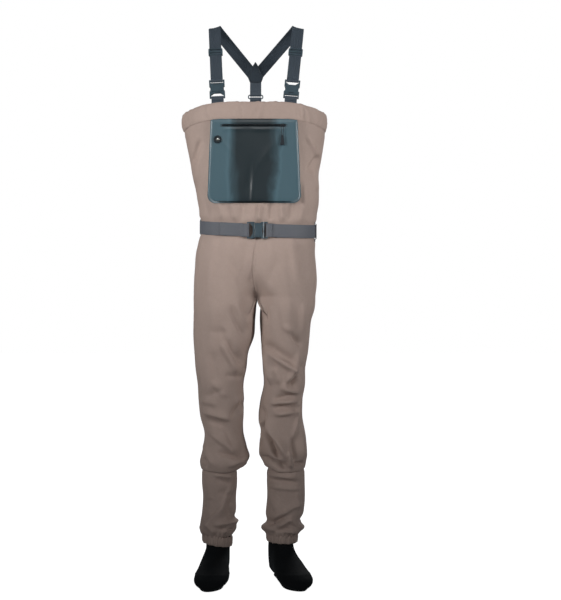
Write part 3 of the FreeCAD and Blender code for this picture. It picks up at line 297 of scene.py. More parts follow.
WAVE_SCALE = 314.16
WHITE = (1.0, 1.0, 1.0)


def node(tree, kind, **settings):
    made = tree.nodes.new(kind)
    for key, value in settings.items():
        if key.startswith("in_"):
            made.inputs[key[3:]].default_value = value
        else:
            setattr(made, key, value)
    return made


def new_material(name, colour, rough, **sockets):
    material = bpy.data.materials.new(name)
    material.use_nodes = True
    tree = material.node_tree
    shader = tree.nodes["Principled BSDF"]
    shader.inputs["Base Color"].default_value = (*colour, 1)
    shader.inputs["Roughness"].default_value = rough
    for key, value in sockets.items():
        socket = shader.inputs[key.replace("_", " ")]
        socket.default_value = (*value, 1) if isinstance(value, tuple) else value
    return material, tree, shader


def coordinates(tree, kind, scale=(1, 1, 1)):
    source = node(tree, "ShaderNodeTexCoord")
    mapping = node(tree, "ShaderNodeMapping")
    mapping.inputs["Scale"].default_value = scale
    tree.links.new(source.outputs[kind], mapping.inputs["Vector"])
    return mapping.outputs["Vector"]


def noise(tree, vector, scale, detail=3.0, rough=0.55, distortion=0.0):
    made = node(
        tree, "ShaderNodeTexNoise", in_Scale=scale, in_Detail=detail, in_Roughness=rough, in_Distortion=distortion,
    )
    tree.links.new(vector, made.inputs["Vector"])
    return made.outputs["Fac"]


def wave(tree, vector, period, direction):
    """Sine bands with a period in millimetres."""
    made = node(
        tree, "ShaderNodeTexWave", bands_direction=direction, wave_profile="SIN", in_Scale=WAVE_SCALE / period,
        in_Distortion=0.0,
    )
    tree.links.new(vector, made.inputs["Vector"])
    return made.outputs["Fac"]


def maths(tree, operation, first, second=None):
    made = node(tree, "ShaderNodeMath", operation=operation)
    for index, value in enumerate((first, second)):
        if value is None:
            continue
        if isinstance(value, (int, float)):
            made.inputs[index].default_value = value
        else:
            tree.links.new(value, made.inputs[index])
    return made.outputs[0]


def ramp(tree, value, stops):
    """A colour ramp; stops are (position, colour)."""
    made = node(tree, "ShaderNodeValToRGB")
    elements = made.color_ramp.elements
    while len(elements) < len(stops):
        elements.new(0.5)
    for element, (position, colour) in zip(elements, stops):
        element.position = position
        element.color = (*colour, 1)
    tree.links.new(value, made.inputs["Fac"])
    return made.outputs["Color"]


def mix(tree, kind, factor, first, second):
    made = node(tree, "ShaderNodeMix", data_type="RGBA", blend_type=kind)
    for index, value in ((0, factor), (6, first), (7, second)):
        if isinstance(value, (int, float)):
            made.inputs[index].default_value = value
        elif isinstance(value, tuple):
            made.inputs[index].default_value = (*value, 1)
        else:
            tree.links.new(value, made.inputs[index])
    return made.outputs[2]


def spread(tree, value, low, high):
    made = node(tree, "ShaderNodeMapRange")
    made.inputs["To Min"].default_value = low
    made.inputs["To Max"].default_value = high
    tree.links.new(value, made.inputs["Value"])
    return made.outputs["Result"]


def bump(tree, shader, layers):
    """Bumps one over another; each layer is a height, a strength and a depth in metres."""
    before = None
    for height, strength, depth in layers:
        made = node(tree, "ShaderNodeBump", in_Strength=strength, in_Distance=depth)
        tree.links.new(height, made.inputs["Height"])
        if before:
            tree.links.new(before, made.inputs["Normal"])
        before = made.outputs["Normal"]
    tree.links.new(before, shader.inputs["Normal"])


def drive(tree, shader, **sockets):
    """Links an output to each named socket of the shader."""
    for key, output in sockets.items():
        tree.links.new(output, shader.inputs[key.replace("_", " ")])


def tints(tree, value, colour, *stops):
    """A colour ramp from one colour; stops are (position, share of the colour)."""
    return ramp(tree, value, [(position, tint(colour, share)) for position, share in stops])


def tint(colour, share):
    return tuple(min(1.0, c * share) for c in colour)


def cloth_material(name, colour, rough=0.72, thread=0.6, crease=0.0):
    """A coated plain-weave cloth: threads both ways, slight mottling, and small creases."""
    material, tree, shader = new_material(
        name, colour, rough, Sheen_Weight=0.22, Sheen_Roughness=0.55, Sheen_Tint=tint(colour, 1.6),
        Specular_IOR_Level=0.32,
    )
    flat = coordinates(tree, "UV")
    solid = coordinates(tree, "Object")
    broad = noise(tree, solid, 5.0, 4.0)
    fine = noise(tree, solid, 160.0, 2.0, 0.7)
    warp = wave(tree, flat, thread, "X")
    weft = wave(tree, flat, thread, "Y")
    woven = maths(tree, "MULTIPLY", warp, weft)
    base = tints(tree, broad, colour, (0.25, 0.9), (0.75, 1.09))
    base = mix(tree, "MULTIPLY", 0.35, base, ramp(tree, fine, [(0.3, (0.86, 0.86, 0.86)), (0.7, WHITE)]))
    base = mix(tree, "MULTIPLY", 0.3, base, ramp(tree, woven, [(0.0, (0.8, 0.79, 0.78)), (0.6, WHITE)]))
    drive(tree, shader, Base_Color=base, Roughness=spread(tree, broad, rough - 0.06, rough + 0.08))
    layers = [(woven, 0.3, 0.00015), (fine, 0.25, 0.0003)]
    if crease:
        layers.insert(0, (noise(tree, solid, 22.0, 3.0, 0.5, 1.2), crease, 0.004))
    bump(tree, shader, layers)
    return material


def webbing_material(name, colour, rib_width, rough=0.62):
    """Woven webbing: ribs along it and weft picks across it."""
    material, tree, shader = new_material(
        name, colour, rough, Sheen_Weight=0.3, Sheen_Roughness=0.5, Sheen_Tint=tint(colour, 3.0),
        Specular_IOR_Level=0.4,
    )
    flat = coordinates(tree, "UV")
    solid = coordinates(tree, "Object")
    ribs = wave(tree, flat, rib_width, "X")
    picks = wave(tree, flat, 0.9, "Y")
    patch = noise(tree, solid, 30.0, 3.0)
    fuzz = noise(tree, solid, 700.0, 2.0)
    woven = maths(tree, "MULTIPLY", ribs, picks)
    base = tints(tree, woven, colour, (0.0, 0.72), (0.7, 1.18))
    base = mix(tree, "MULTIPLY", 0.5, base, ramp(tree, patch, [(0.3, (0.84, 0.84, 0.84)), (0.7, WHITE)]))
    drive(tree, shader, Base_Color=base, Roughness=spread(tree, patch, rough - 0.07, rough + 0.1))
    bump(tree, shader, [(ribs, 0.35, 0.0003), (picks, 0.3, 0.0002), (fuzz, 0.2, 0.0002)])
    return material


def plastic_material(name, colour, rough=0.4, grain=0.25):
    """Moulded acetal: a fine spark-eroded grain, rubbed a little smoother and paler in patches."""
    material, tree, shader = new_material(name, colour, rough, Specular_IOR_Level=0.5)
    solid = coordinates(tree, "Object")
    speck = noise(tree, solid, 1400.0, 2.0, 0.6)
    worn = noise(tree, solid, 60.0, 4.0, 0.6)
    base = tints(tree, worn, colour, (0.35, 0.88), (0.75, 1.2))
    drive(tree, shader, Base_Color=base, Roughness=spread(tree, worn, rough + 0.08, rough - 0.08))
    bump(tree, shader, [(speck, grain, 0.0002)])
    return material


def film_material(name, colour, rough):
    """Glossy welded film over fabric: long shallow ripples, the faint print of the cloth under it, and a painted
    reflection that lightens its colour in streaks towards its sides.
    """
    coat_rough = 0.12
    material, tree, shader = new_material(name, colour, rough, Specular_IOR_Level=0.5, Coat_Weight=0.25)
    solid = coordinates(tree, "Object")
    tall = coordinates(tree, "Object", (1, 1, 0.35))
    ripple = noise(tree, tall, 14.0, 3.0, 0.5, 0.8)
    # this noise varies the roughness and also breaks up the painted reflection streaks on the sides
    dullness_and_reflection_streaks = noise(tree, tall, 9.0, 4.0, 0.6, 0.5)
    print_through = noise(tree, solid, 900.0, 2.0)
    apart = node(tree, "ShaderNodeSeparateXYZ")
    tree.links.new(solid, apart.inputs[0])
    # painted reflection: the colour is made lighter towards the film's sides, where the film would mirror the side
    # lamps
    reflection_toward_sides = maths(tree, "MULTIPLY", maths(tree, "ABSOLUTE", apart.outputs["X"]), 8.0)
    painted_side_reflection = maths(tree, "ADD", reflection_toward_sides, maths(tree, "MULTIPLY", dullness_and_reflection_streaks, 0.7))
    base = tints(tree, painted_side_reflection, colour, (0.7, 0.4), (0.84, 1.2), (0.95, 2.7), (1.3, 2.3))
    facing = node(tree, "ShaderNodeSeparateXYZ")
    tree.links.new(coordinates(tree, "Normal"), facing.inputs[0])
    turned = maths(tree, "SUBTRACT", 1.0, maths(tree, "ABSOLUTE", facing.outputs["Y"]))
    # the worn welded edge is matt
    dulled = maths(tree, "ADD", spread(tree, dullness_and_reflection_streaks, rough - 0.05, rough + 0.12), turned)
    drive(tree, shader, Base_Color=base, Roughness=dulled, Coat_Roughness=maths(tree, "ADD", turned, coat_rough))
    bump(tree, shader, [(ripple, 0.5, 0.003), (print_through, 0.1, 0.0002)])
    return material


def rubber_material(name, colour, rough=0.8, pimple=0.0):
    """Knit-faced neoprene, or with pimple its dense sole."""
    material, tree, shader = new_material(
        name, colour, rough, Sheen_Weight=0.04, Sheen_Roughness=0.4, Sheen_Tint=(0.2, 0.35, 0.4),
        Specular_IOR_Level=0.16,
    )
    solid = coordinates(tree, "Object")
    knit = noise(tree, solid, 1100.0, 2.0, 0.6)
    patch = noise(tree, solid, 25.0, 3.0)
    base = tints(tree, patch, colour, (0.3, 0.8), (0.7, 1.35))
    drive(tree, shader, Base_Color=base, Roughness=spread(tree, patch, rough - 0.08, rough + 0.06))
    layers = [(knit, 0.4, 0.0003)]
    if pimple:
        dots = node(tree, "ShaderNodeTexVoronoi", in_Scale=pimple)
        tree.links.new(solid, dots.inputs["Vector"])
        layers.append((dots.outputs["Distance"], 0.6, 0.0008))
    bump(tree, shader, layers)
    return material


def metal_material(name, colour, rough, metallic):
    material, tree, shader = new_material(name, colour, rough, Metallic=metallic)
    solid = coordinates(tree, "Object")
    rubbed = noise(tree, solid, 220.0, 4.0, 0.65)
    base = tints(tree, rubbed, colour, (0.4, 0.85), (0.8, 1.5))
    drive(tree, shader, Base_Color=base, Roughness=spread(tree, rubbed, rough + 0.1, rough - 0.06))
    bump(tree, shader, [(rubbed, 0.1, 0.0001)])
    return material


TAUPE = (0.352, 0.268, 0.23)
MATERIALS = {name: make(name, *values) for name, make, *values in (
    ("shell_fabric", cloth_material, TAUPE, 0.72, 0.6, 0.5),
    ("loop_fabric", webbing_material, (0.07, 0.066, 0.07), 1.4),
    ("sole_rubber", rubber_material, (0.0035, 0.0035, 0.004), 0.85, 420.0),
    ("neoprene", rubber_material, (0.0022, 0.003, 0.0038)),
    ("seam_tape", plastic_material, (0.06, 0.06, 0.06), 0.5),
    ("elastic", webbing_material, (0.62, 0.6, 0.57), 1.6),
    ("belt_webbing", webbing_material, (0.1, 0.106, 0.122), 2.4),
    ("suspender_webbing", webbing_material, (0.038, 0.052, 0.068), 3.0),
    ("buckle_plastic", plastic_material, (0.04, 0.062, 0.076), 0.34),
    ("ring_plastic", plastic_material, (0.06, 0.085, 0.1), 0.34),
    ("pocket_skin", film_material, (0.021, 0.04, 0.049), 0.3),
    ("zip_tape", plastic_material, (0.012, 0.018, 0.022), 0.42),
    ("zip_coil", plastic_material, (0.012, 0.014, 0.016), 0.35),
    ("zip_metal", metal_material, (0.03, 0.035, 0.04), 0.35, 0.6),
    ("pull_cord", webbing_material, (0.022, 0.026, 0.03), 0.9),
    ("pull_grip", rubber_material, (0.016, 0.02, 0.024), 0.6),
    ("stud_ring", plastic_material, (0.012, 0.018, 0.022), 0.28),
    ("stud_cap", metal_material, (0.42, 0.43, 0.4), 0.22, 1.0),
    ("dark_thread", cloth_material, (0.05, 0.06, 0.07), 0.6, 0.3),
)}


def dress(piece, slot, body="garment", nodes=(), material=None):
    """Gives a finished piece the material named by its slot (or the material given), puts it on its body and hides the
    CAD nodes that it stands for.
    """
    piece.data.materials.clear()
    piece.data.materials.append(MATERIALS[material or slot])
    if body:
        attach(piece, body)
    if nodes:
        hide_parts(*nodes)
    return piece


# ---------------------------------------------------------------- outlines of the garment

# height, half width, half depth, squareness, middle's x, how much higher the back is than the front
TORSO = [
    (1335, 203, 118, 3.0, 0, 20), (1280, 199, 119, 3.0, 0, 16), (1190, 185, 118, 3.0, 2, 8),
    (1150, 179, 117, 3.0, 2, 6), (1107, 175, 114.5, 3.0, 7, 3), (1060, 171, 113, 2.9, 10.5, 2),
    (1015, 162, 110, 2.7, 10, 0), (992, 160.5, 108, 2.7, 9, 0), (965, 163, 109, 2.7, 7, 0),
    (925, 168.5, 113, 2.7, 2, 0), (880, 172, 117, 2.7, 2, 0), (845, 174, 119, 2.8, 1.5, 0), (800, 173, 119, 2.8, -1, 0),
]
# height, outer edge, inner edge, middle's depth, half depth, squareness of the inner half
LEGS = {
    "right": [
        (800, -174, 6, 0, 118, 3.6), (775, -174, 4, 0, 114, 3.2), (733, -174, 0, 1, 109, 3.0),
        (688, -174, -3, 2, 102, 2.8), (642, -171, -19, 2, 96, 2.6), (596, -168, -24, 1, 90, 2.5),
        (551, -162, -32, 0, 84, 2.3),
        (505, -159, -31, 0, 78, 2.2), (459, -154, -34, 2, 72, 2.1), (414, -143, -34, 4, 67, 2.1),
        (380, -146, -26, 5, 71, 2.1), (345, -153, -17, 5, 75, 2.1), (318, -157, -17, 5, 74, 2.1),
        (300, -155, -24, 4, 66, 2.0),
    ],
    "left": [
        (800, 172, 15, 0, 118, 3.6), (775, 168, 17, 0, 114, 3.2), (733, 160, 16, 1, 108, 3.0),
        (688, 156, 18, 2, 101, 2.8), (642, 151, 20, 2, 95, 2.6), (596, 143, 23, 1, 89, 2.5), (551, 142, 26, 0, 83, 2.3),
        (505, 134, 17, 0, 78, 2.2), (459, 134, 12, 2, 72, 2.1), (414, 142, 20, 4, 67, 2.1),
        (390, 145, 15, 5, 70, 2.1), (345, 148, 12, 5, 75, 2.1), (322, 146, 15, 5, 73, 2.1), (300, 143, 26, 4, 66, 2.0),
    ],
}
GUARDS = {
    "right": [
        (300, -151, -51, 4, 58, 2.0), (270, -151, -51, 5, 56, 2.0), (231, -148, -54, 6, 54, 2.0),
        (186, -151, -54, 5, 55, 2.0), (163, -154, -56, 4, 57, 2.0), (142, -157, -52, 4, 58, 2.0),
        (130, -154, -60, 3, 54, 2.0), (122, -148, -66, 2, 50, 2.0), (96, -148, -67, 0, 49, 2.0),
    ],
    "left": [
        (300, 142, 34, 4, 60, 2.0), (270, 142, 34, 5, 57, 2.0), (231, 142, 35, 6, 54, 2.0),
        (186, 138, 31, 5, 55, 2.0), (163, 130, 31, 4, 56, 2.0), (142, 133, 25, 4, 58, 2.0),
        (130, 127, 30, 3, 54, 2.0), (122, 121, 34, 2, 50, 2.0), (96, 119, 35, 0, 49, 2.0),
    ],
}
HEM_TOP, HEM_BOTTOM, CROTCH, LEG_BOTTOM, CUFF_BOTTOM = 1335.0, 1291.0, 800.0, 302, 97.0
RIM_HALF_WIDTH, RIM_DIP = 203, 31


def power(value, exponent):
    return np.sign(value) * np.abs(value) ** exponent


def dense_angles(first, last, count=160):
    """Angles that crowd towards both ends, where a squarish outline runs fastest."""
    t = np.linspace(0, 1, count)
    t = np.where(t < 0.5, 4 * t**3, 1 - 4 * (1 - t) ** 3)
    return np.radians(first + (last - first) * t)


def torso_outline(height, fractions, offset=0.0):
    """The torso's closed outline from the middle of the front to the wearer's left: four quarters, each with the
    same fractions of its length, without the last point."""
    half_width, half_depth, square, middle, rise = along_table(TORSO, height)
    quarters = []
    for first in (270, 0, 90, 180):
        angle = dense_angles(first, first + 90)
        behind = (half_depth + offset) * power(np.sin(angle), 2 / square)
        points = np.stack([
            middle + (half_width + offset) * power(np.cos(angle), 2 / square), CENTRE_Y + behind,
            height + rise * (1 + behind / half_depth) / 2,
        ], 1)
        quarters.append(resample(points, fractions)[:-1])
    return np.vstack(quarters)


def leg_outline(rows, height, sign, quarter, inner, offset=0.0):
    """A leg's closed outline from the corner where the crotch's front is: round the outer side to the crotch's back,
    in two parts with the quarter's fractions, and then back along the inner side."""
    out, into, depth, half_depth, square = along_table(rows, height)
    middle, half_width = (out + into) / 2, abs(out - into) / 2
    halves = []
    for away, exponent in ((1, 0.92), (-1, 2 / square)):
        angle = dense_angles(-90 * away, 90 * away)
        c, s = np.cos(angle), np.sin(angle)
        halves.append(np.stack([
            middle + sign * away * (half_width + offset) * power(c, exponent),
            CENTRE_Y + depth + (half_depth + offset) * power(s, exponent), np.full(len(angle), float(height)),
        ], 1))
    outside, inside = halves
    share = 0.2
    turn = len(outside) // 2
    back = resample(inside, np.linspace(0, share, 40))
    between = resample(inside, np.linspace(share, 1 - share, 120))
    front = resample(inside, np.linspace(1 - share, 1, 40))
    return np.vstack([
        resample(np.vstack([front, outside[1:turn]]), quarter)[:-1],
        resample(np.vstack([outside[turn - 1:], back[1:]]), quarter)[:-1],
        resample(between, inner)[:-1],
    ])


# ---------------------------------------------------------------- folds

def outward_of(points):
    """The outward normal of a grid whose rows are rings."""
    around = np.roll(points, -1, axis=1) - np.roll(points, 1, axis=1)
    up = np.gradient(points, axis=0)
    normal = np.cross(around, up)
    return normal / np.maximum(np.linalg.norm(normal, axis=2, keepdims=True), 1e-9)


def creases(points, rows):
    """The sum of folds seen along Y. Each is two ends (x, z), a height, the width on its soft side and the width on
    its sharp side; the soft side is to the left of the way from the first end to the second."""
    x, z = points[..., 0], points[..., 2]
    total = np.zeros(x.shape)
    for x0, z0, x1, z1, height, soft, sharp in rows:
        length = math.hypot(x1 - x0, z1 - z0)
        ax, az = (x1 - x0) / length, (z1 - z0) / length
        t = ((x - x0) * ax + (z - z0) * az) / length
        s = -(x - x0) * az + (z - z0) * ax
        ends = smooth(-0.18, 0.22, t) * (1 - smooth(0.78, 1.18, t))
        total += height * ends * np.where(s > 0, np.exp(-(s / soft) ** 2), np.exp(-(s / (0.8 * sharp)) ** 2))
    return total


def wrinkles(points, seed, scale, stretch, count=26):
    """Low rumpling: a sum of slanting waves with fixed directions and phases."""
    draw = np.random.default_rng(seed)
    centre = points[..., :2].mean(axis=1, keepdims=True)
    turn = np.arctan2(points[..., 1] - centre[..., 1], points[..., 0] - centre[..., 0])
    usual_radius = 90.0
    total = np.zeros(turn.shape)
    for _ in range(count):
        size = scale * draw.uniform(0.6, 1.7)
        draw.normal(0, 0.5)  # not used, but the draws after it depend on it
        phase = draw.uniform(0, 2 * math.pi)
        waves_around = max(1, round(2 * math.pi * usual_radius / (size * 2.0)))
        up = points[..., 2] / (size * stretch)
        total += draw.uniform(0.4, 1.0) * np.sin(turn * waves_around + up + phase)
    return total / math.sqrt(count)


FRONT_FOLDS = {
    "torso": [
        (-60, 1062, -52, 1014, 5.0, 9, 6), (-30, 1058, -34, 1012, -4.0, 9, 7), (17, 1058, 12, 1010, 6.0, 8, 6),
        (46, 1060, 44, 1012, -5.0, 8, 6), (72, 1058, 76, 1012, 5.5, 8, 6), (104, 1064, 98, 1016, -4.0, 9, 7),
        (-104, 1080, -88, 1016, 4.0, 12, 7), (-140, 1100, -118, 1018, -4.0, 12, 8), (136, 1110, 128, 1014, 5.0, 11, 8),
        (-152, 1240, -176, 1180, -5.0, 12, 7), (-150, 1200, -170, 1120, 3.0, 14, 9),
        (150, 1250, 178, 1205, 4.0, 12, 8), (176, 1200, 150, 1150, -6.0, 9, 6), (160, 1150, 176, 1100, 4.0, 12, 8),
        (-40, 968, -70, 880, 3.0, 16, 12), (-95, 966, -110, 860, -3.0, 14, 12), (40, 968, 52, 880, 2.5, 16, 12),
        (100, 966, 118, 850, 3.5, 14, 9), (128, 940, 138, 850, -3.0, 12, 9), (-20, 940, -34, 850, -3.0, 14, 10),
        (60, 900, 36, 830, -3.0, 18, 12), (-8, 905, -18, 850, 4.0, 8, 6), (-70, 900, -30, 828, -5.0, 20, 12),
        (72, 880, 96, 800, 4.0, 16, 10), (-120, 900, -132, 800, 3.0, 18, 12),
    ],
    "right": [
        (-16, 868, 6, 806, 7.0, 20, 5), (-40, 830, -24, 745, -8.0, 14, 8), (-60, 800, -22, 720, 6.0, 14, 8),
        (-70, 775, -30, 690, -7.0, 12, 7), (-110, 800, -120, 640, 4.0, 22, 14), (-85, 720, -48, 640, 5.0, 14, 8),
        (-120, 700, -70, 700, -3.0, 12, 9), (-90, 668, -52, 590, 8.0, 15, 6), (-72, 672, -40, 612, -7.0, 12, 8),
        (-142, 700, -140, 520, 4.0, 20, 16), (-118, 640, -108, 560, -4.0, 14, 10), (-76, 578, -30, 572, -5.0, 10, 7),
        (-116, 560, -80, 520, 4.0, 12, 9), (-150, 505, -108, 498, 4.0, 11, 7), (-132, 520, -86, 540, -3.5, 10, 8),
        (-142, 474, -72, 455, 8.0, 14, 5), (-136, 452, -84, 438, -6.0, 14, 8), (-62, 462, -30, 500, -8.0, 10, 7),
        (-50, 520, -34, 450, 4.0, 8, 6), (-128, 420, -44, 352, 7.0, 14, 7), (-146, 380, -120, 330, 4.0, 10, 7),
        (-98, 364, -24, 346, -12.0, 17, 8), (-100, 372, -60, 360, 5.0, 10, 7), (-70, 326, -22, 344, 6.0, 10, 6),
        (-140, 345, -138, 318, -5.0, 6, 6), (-84, 440, -60, 380, -4.0, 16, 10),
    ],
    "left": [
        (20, 850, 40, 760, 5.0, 10, 8), (34, 800, 30, 730, -6.0, 10, 8), (70, 820, 84, 700, 4.0, 18, 10),
        (112, 800, 116, 660, -4.0, 16, 12), (138, 790, 136, 700, 4.0, 12, 9), (98, 700, 128, 664, -8.0, 12, 6),
        (84, 716, 118, 686, 5.0, 12, 7), (30, 662, 110, 612, -9.0, 15, 7), (44, 640, 118, 588, 7.0, 16, 8),
        (30, 640, 46, 560, 6.0, 10, 7), (124, 640, 94, 560, 5.0, 12, 7), (132, 610, 106, 548, -5.0, 10, 6),
        (70, 560, 60, 600, 4.0, 10, 8), (92, 548, 126, 572, -7.0, 9, 6), (76, 545, 120, 528, 6.0, 10, 6),
        (60, 512, 118, 524, -5.0, 9, 6), (56, 490, 118, 484, -5.5, 12, 9), (50, 500, 114, 506, 5.0, 9, 5),
        (62, 470, 112, 478, 6.0, 9, 6), (128, 505, 108, 414, 4.0, 10, 4), (30, 448, 86, 350, 9.0, 15, 6),
        (24, 432, 66, 352, -9.0, 12, 9), (108, 400, 112, 340, -6.0, 12, 9), (126, 430, 138, 350, 4.0, 10, 8),
        (14, 345, 90, 318, -10.0, 12, 8), (96, 366, 100, 322, 6.0, 9, 6), (112, 326, 136, 330, -7.0, 7, 6),
        (20, 486, 30, 420, -5.0, 9, 8), (14, 452, 22, 400, 4.0, 8, 7),
    ],
}
BACK_FOLDS = {
    "torso": [
        (-110, 1260, -80, 1120, 4.0, 20, 14), (-40, 1270, -30, 1100, -3.0, 24, 16), (50, 1260, 42, 1080, 4.0, 22, 14),
        (120, 1250, 96, 1110, -4.0, 20, 14), (-120, 1070, -96, 1014, 5.0, 10, 7), (-70, 1064, -64, 1012, -4.0, 10, 8),
        (-24, 1070, -26, 1012, 5.0, 9, 7), (22, 1062, 18, 1012, -4.0, 9, 7), (66, 1070, 60, 1012, 5.0, 9, 7),
        (112, 1066, 104, 1012, -4.0, 9, 8), (-90, 966, -70, 880, 4.0, 16, 12), (-30, 960, -46, 870, -3.0, 18, 12),
        (40, 962, 60, 870, 4.0, 16, 12), (100, 960, 110, 860, -3.5, 16, 12), (-90, 860, -30, 812, 6.0, 16, 9),
        (92, 862, 32, 812, 6.0, 16, 9), (-110, 828, -40, 800, -5.0, 14, 9), (112, 828, 42, 800, -5.0, 14, 9),
    ],
    "right": [
        (-130, 800, -50, 770, 7.0, 16, 8), (-140, 760, -60, 730, -5.0, 14, 9), (-100, 740, -110, 620, 4.0, 20, 14),
        (-60, 700, -64, 600, -4.0, 14, 10), (-140, 580, -70, 552, 8.0, 13, 7), (-136, 552, -60, 536, -8.0, 11, 8),
        (-130, 525, -50, 512, 7.0, 12, 7), (-120, 492, -60, 500, -6.0, 11, 8), (-110, 460, -70, 380, 5.0, 14, 9),
        (-136, 420, -100, 350, -6.0, 12, 8), (-140, 356, -60, 340, 7.0, 12, 7), (-120, 334, -40, 330, -9.0, 10, 8),
        (-60, 400, -40, 340, 5.0, 10, 7),
    ],
    "left": [
        (130, 800, 50, 772, 7.0, 16, 8), (138, 762, 60, 738, -5.0, 14, 9), (96, 740, 108, 620, 4.0, 20, 14),
        (58, 700, 50, 600, -4.0, 14, 10), (128, 590, 52, 560, 8.0, 13, 7), (122, 560, 48, 544, -8.0, 11, 8),
        (118, 530, 40, 520, 7.0, 12, 7), (104, 496, 50, 508, -6.0, 11, 8), (100, 466, 60, 384, 5.0, 14, 9),
        (130, 430, 96, 356, -6.0, 12, 8), (130, 360, 50, 342, 7.0, 12, 7), (112, 336, 34, 332, -9.0, 10, 8),
        (40, 420, 30, 350, 5.0, 10, 7),
    ],
}


def on_front_and_back(outward):
    """How much each point is on the front and on the back, from its outward direction."""
    return smooth(-0.15, 0.45, -outward[..., 1]), smooth(-0.15, 0.45, outward[..., 1])


def fold(points, part, rumple, seed):
    """How far the cloth stands out at each point of the torso or a leg. The left leg's folds are the deepest."""
    mirrored = part == "right"
    front, back = on_front_and_back(outward_of(points) * (-1 if mirrored else 1))
    height = front * creases(points, FRONT_FOLDS[part]) + back * creases(points, BACK_FOLDS[part])
    depth = 1.3 if mirrored else 1.4 + 0.9 * smooth(700, 520, points[..., 2])
    return depth * height + rumple * wrinkles(points, seed, 34.0, 1.5)


# ---------------------------------------------------------------- the shell: torso and both legs in one piece

SEAM_STEPS = np.array([0, 0.9, 2.4, 5.2, 6.6, 9.5])
SEAM_RISE = np.array([-0.9, 0.5, 0.9, 0.9, 0.0, 0.0])
QUARTER_LENGTH = 250.0


def seamed(count, both=True):
    """Fractions of a length with extra ones by its seams, and how far the seam's cloth stands up at each."""
    near = SEAM_STEPS / QUARTER_LENGTH
    middle = np.linspace(near[-1], 1 - near[-1] if both else 1, count)[1:-1 if both else None]
    values = np.concatenate([near, middle] + ([1 - near[::-1]] if both else []))
    rise = np.concatenate([SEAM_RISE, np.zeros(len(middle))] + ([SEAM_RISE[::-1]] if both else []))
    return values, rise


QUARTER, QUARTER_RISE = seamed(52)
HALF_INNER = np.linspace(0, 1, 22)
INNER = np.concatenate([HALF_INNER / 2, [0.492, 0.508], 0.5 + HALF_INNER[1:] / 2])
INNER = np.sort(INNER)
INNER_RISE = 0.8 * np.exp(-((INNER - 0.5) / 0.03) ** 2) - 1.4 * np.exp(-((INNER - 0.5) / 0.006) ** 2)
BELT_LEVEL = 992.0


def belt_height(x, y):
    return BELT_LEVEL - 0.034 * x + 0.08 * (y - CENTRE_Y)


def valley(points):
    """The fold between the legs, which deepens down to the crotch at the front and back."""
    x, y, z = points[..., 0], points[..., 1], points[..., 2]
    share = np.clip((905 - z) / 105, 0, 1)
    middle = np.interp(z, [800, 835, 870, 905, 950], [8, -2, -8, -4, 0])
    moved = points.copy()
    moved[..., 0] += middle * bell(x, 0, 40)
    depth = 56 * share**1.7 * bell(moved[..., 0], middle, 15 + 20 * share)
    moved[..., 1] += np.where(y < CENTRE_Y, depth, -depth * 0.9)
    return moved


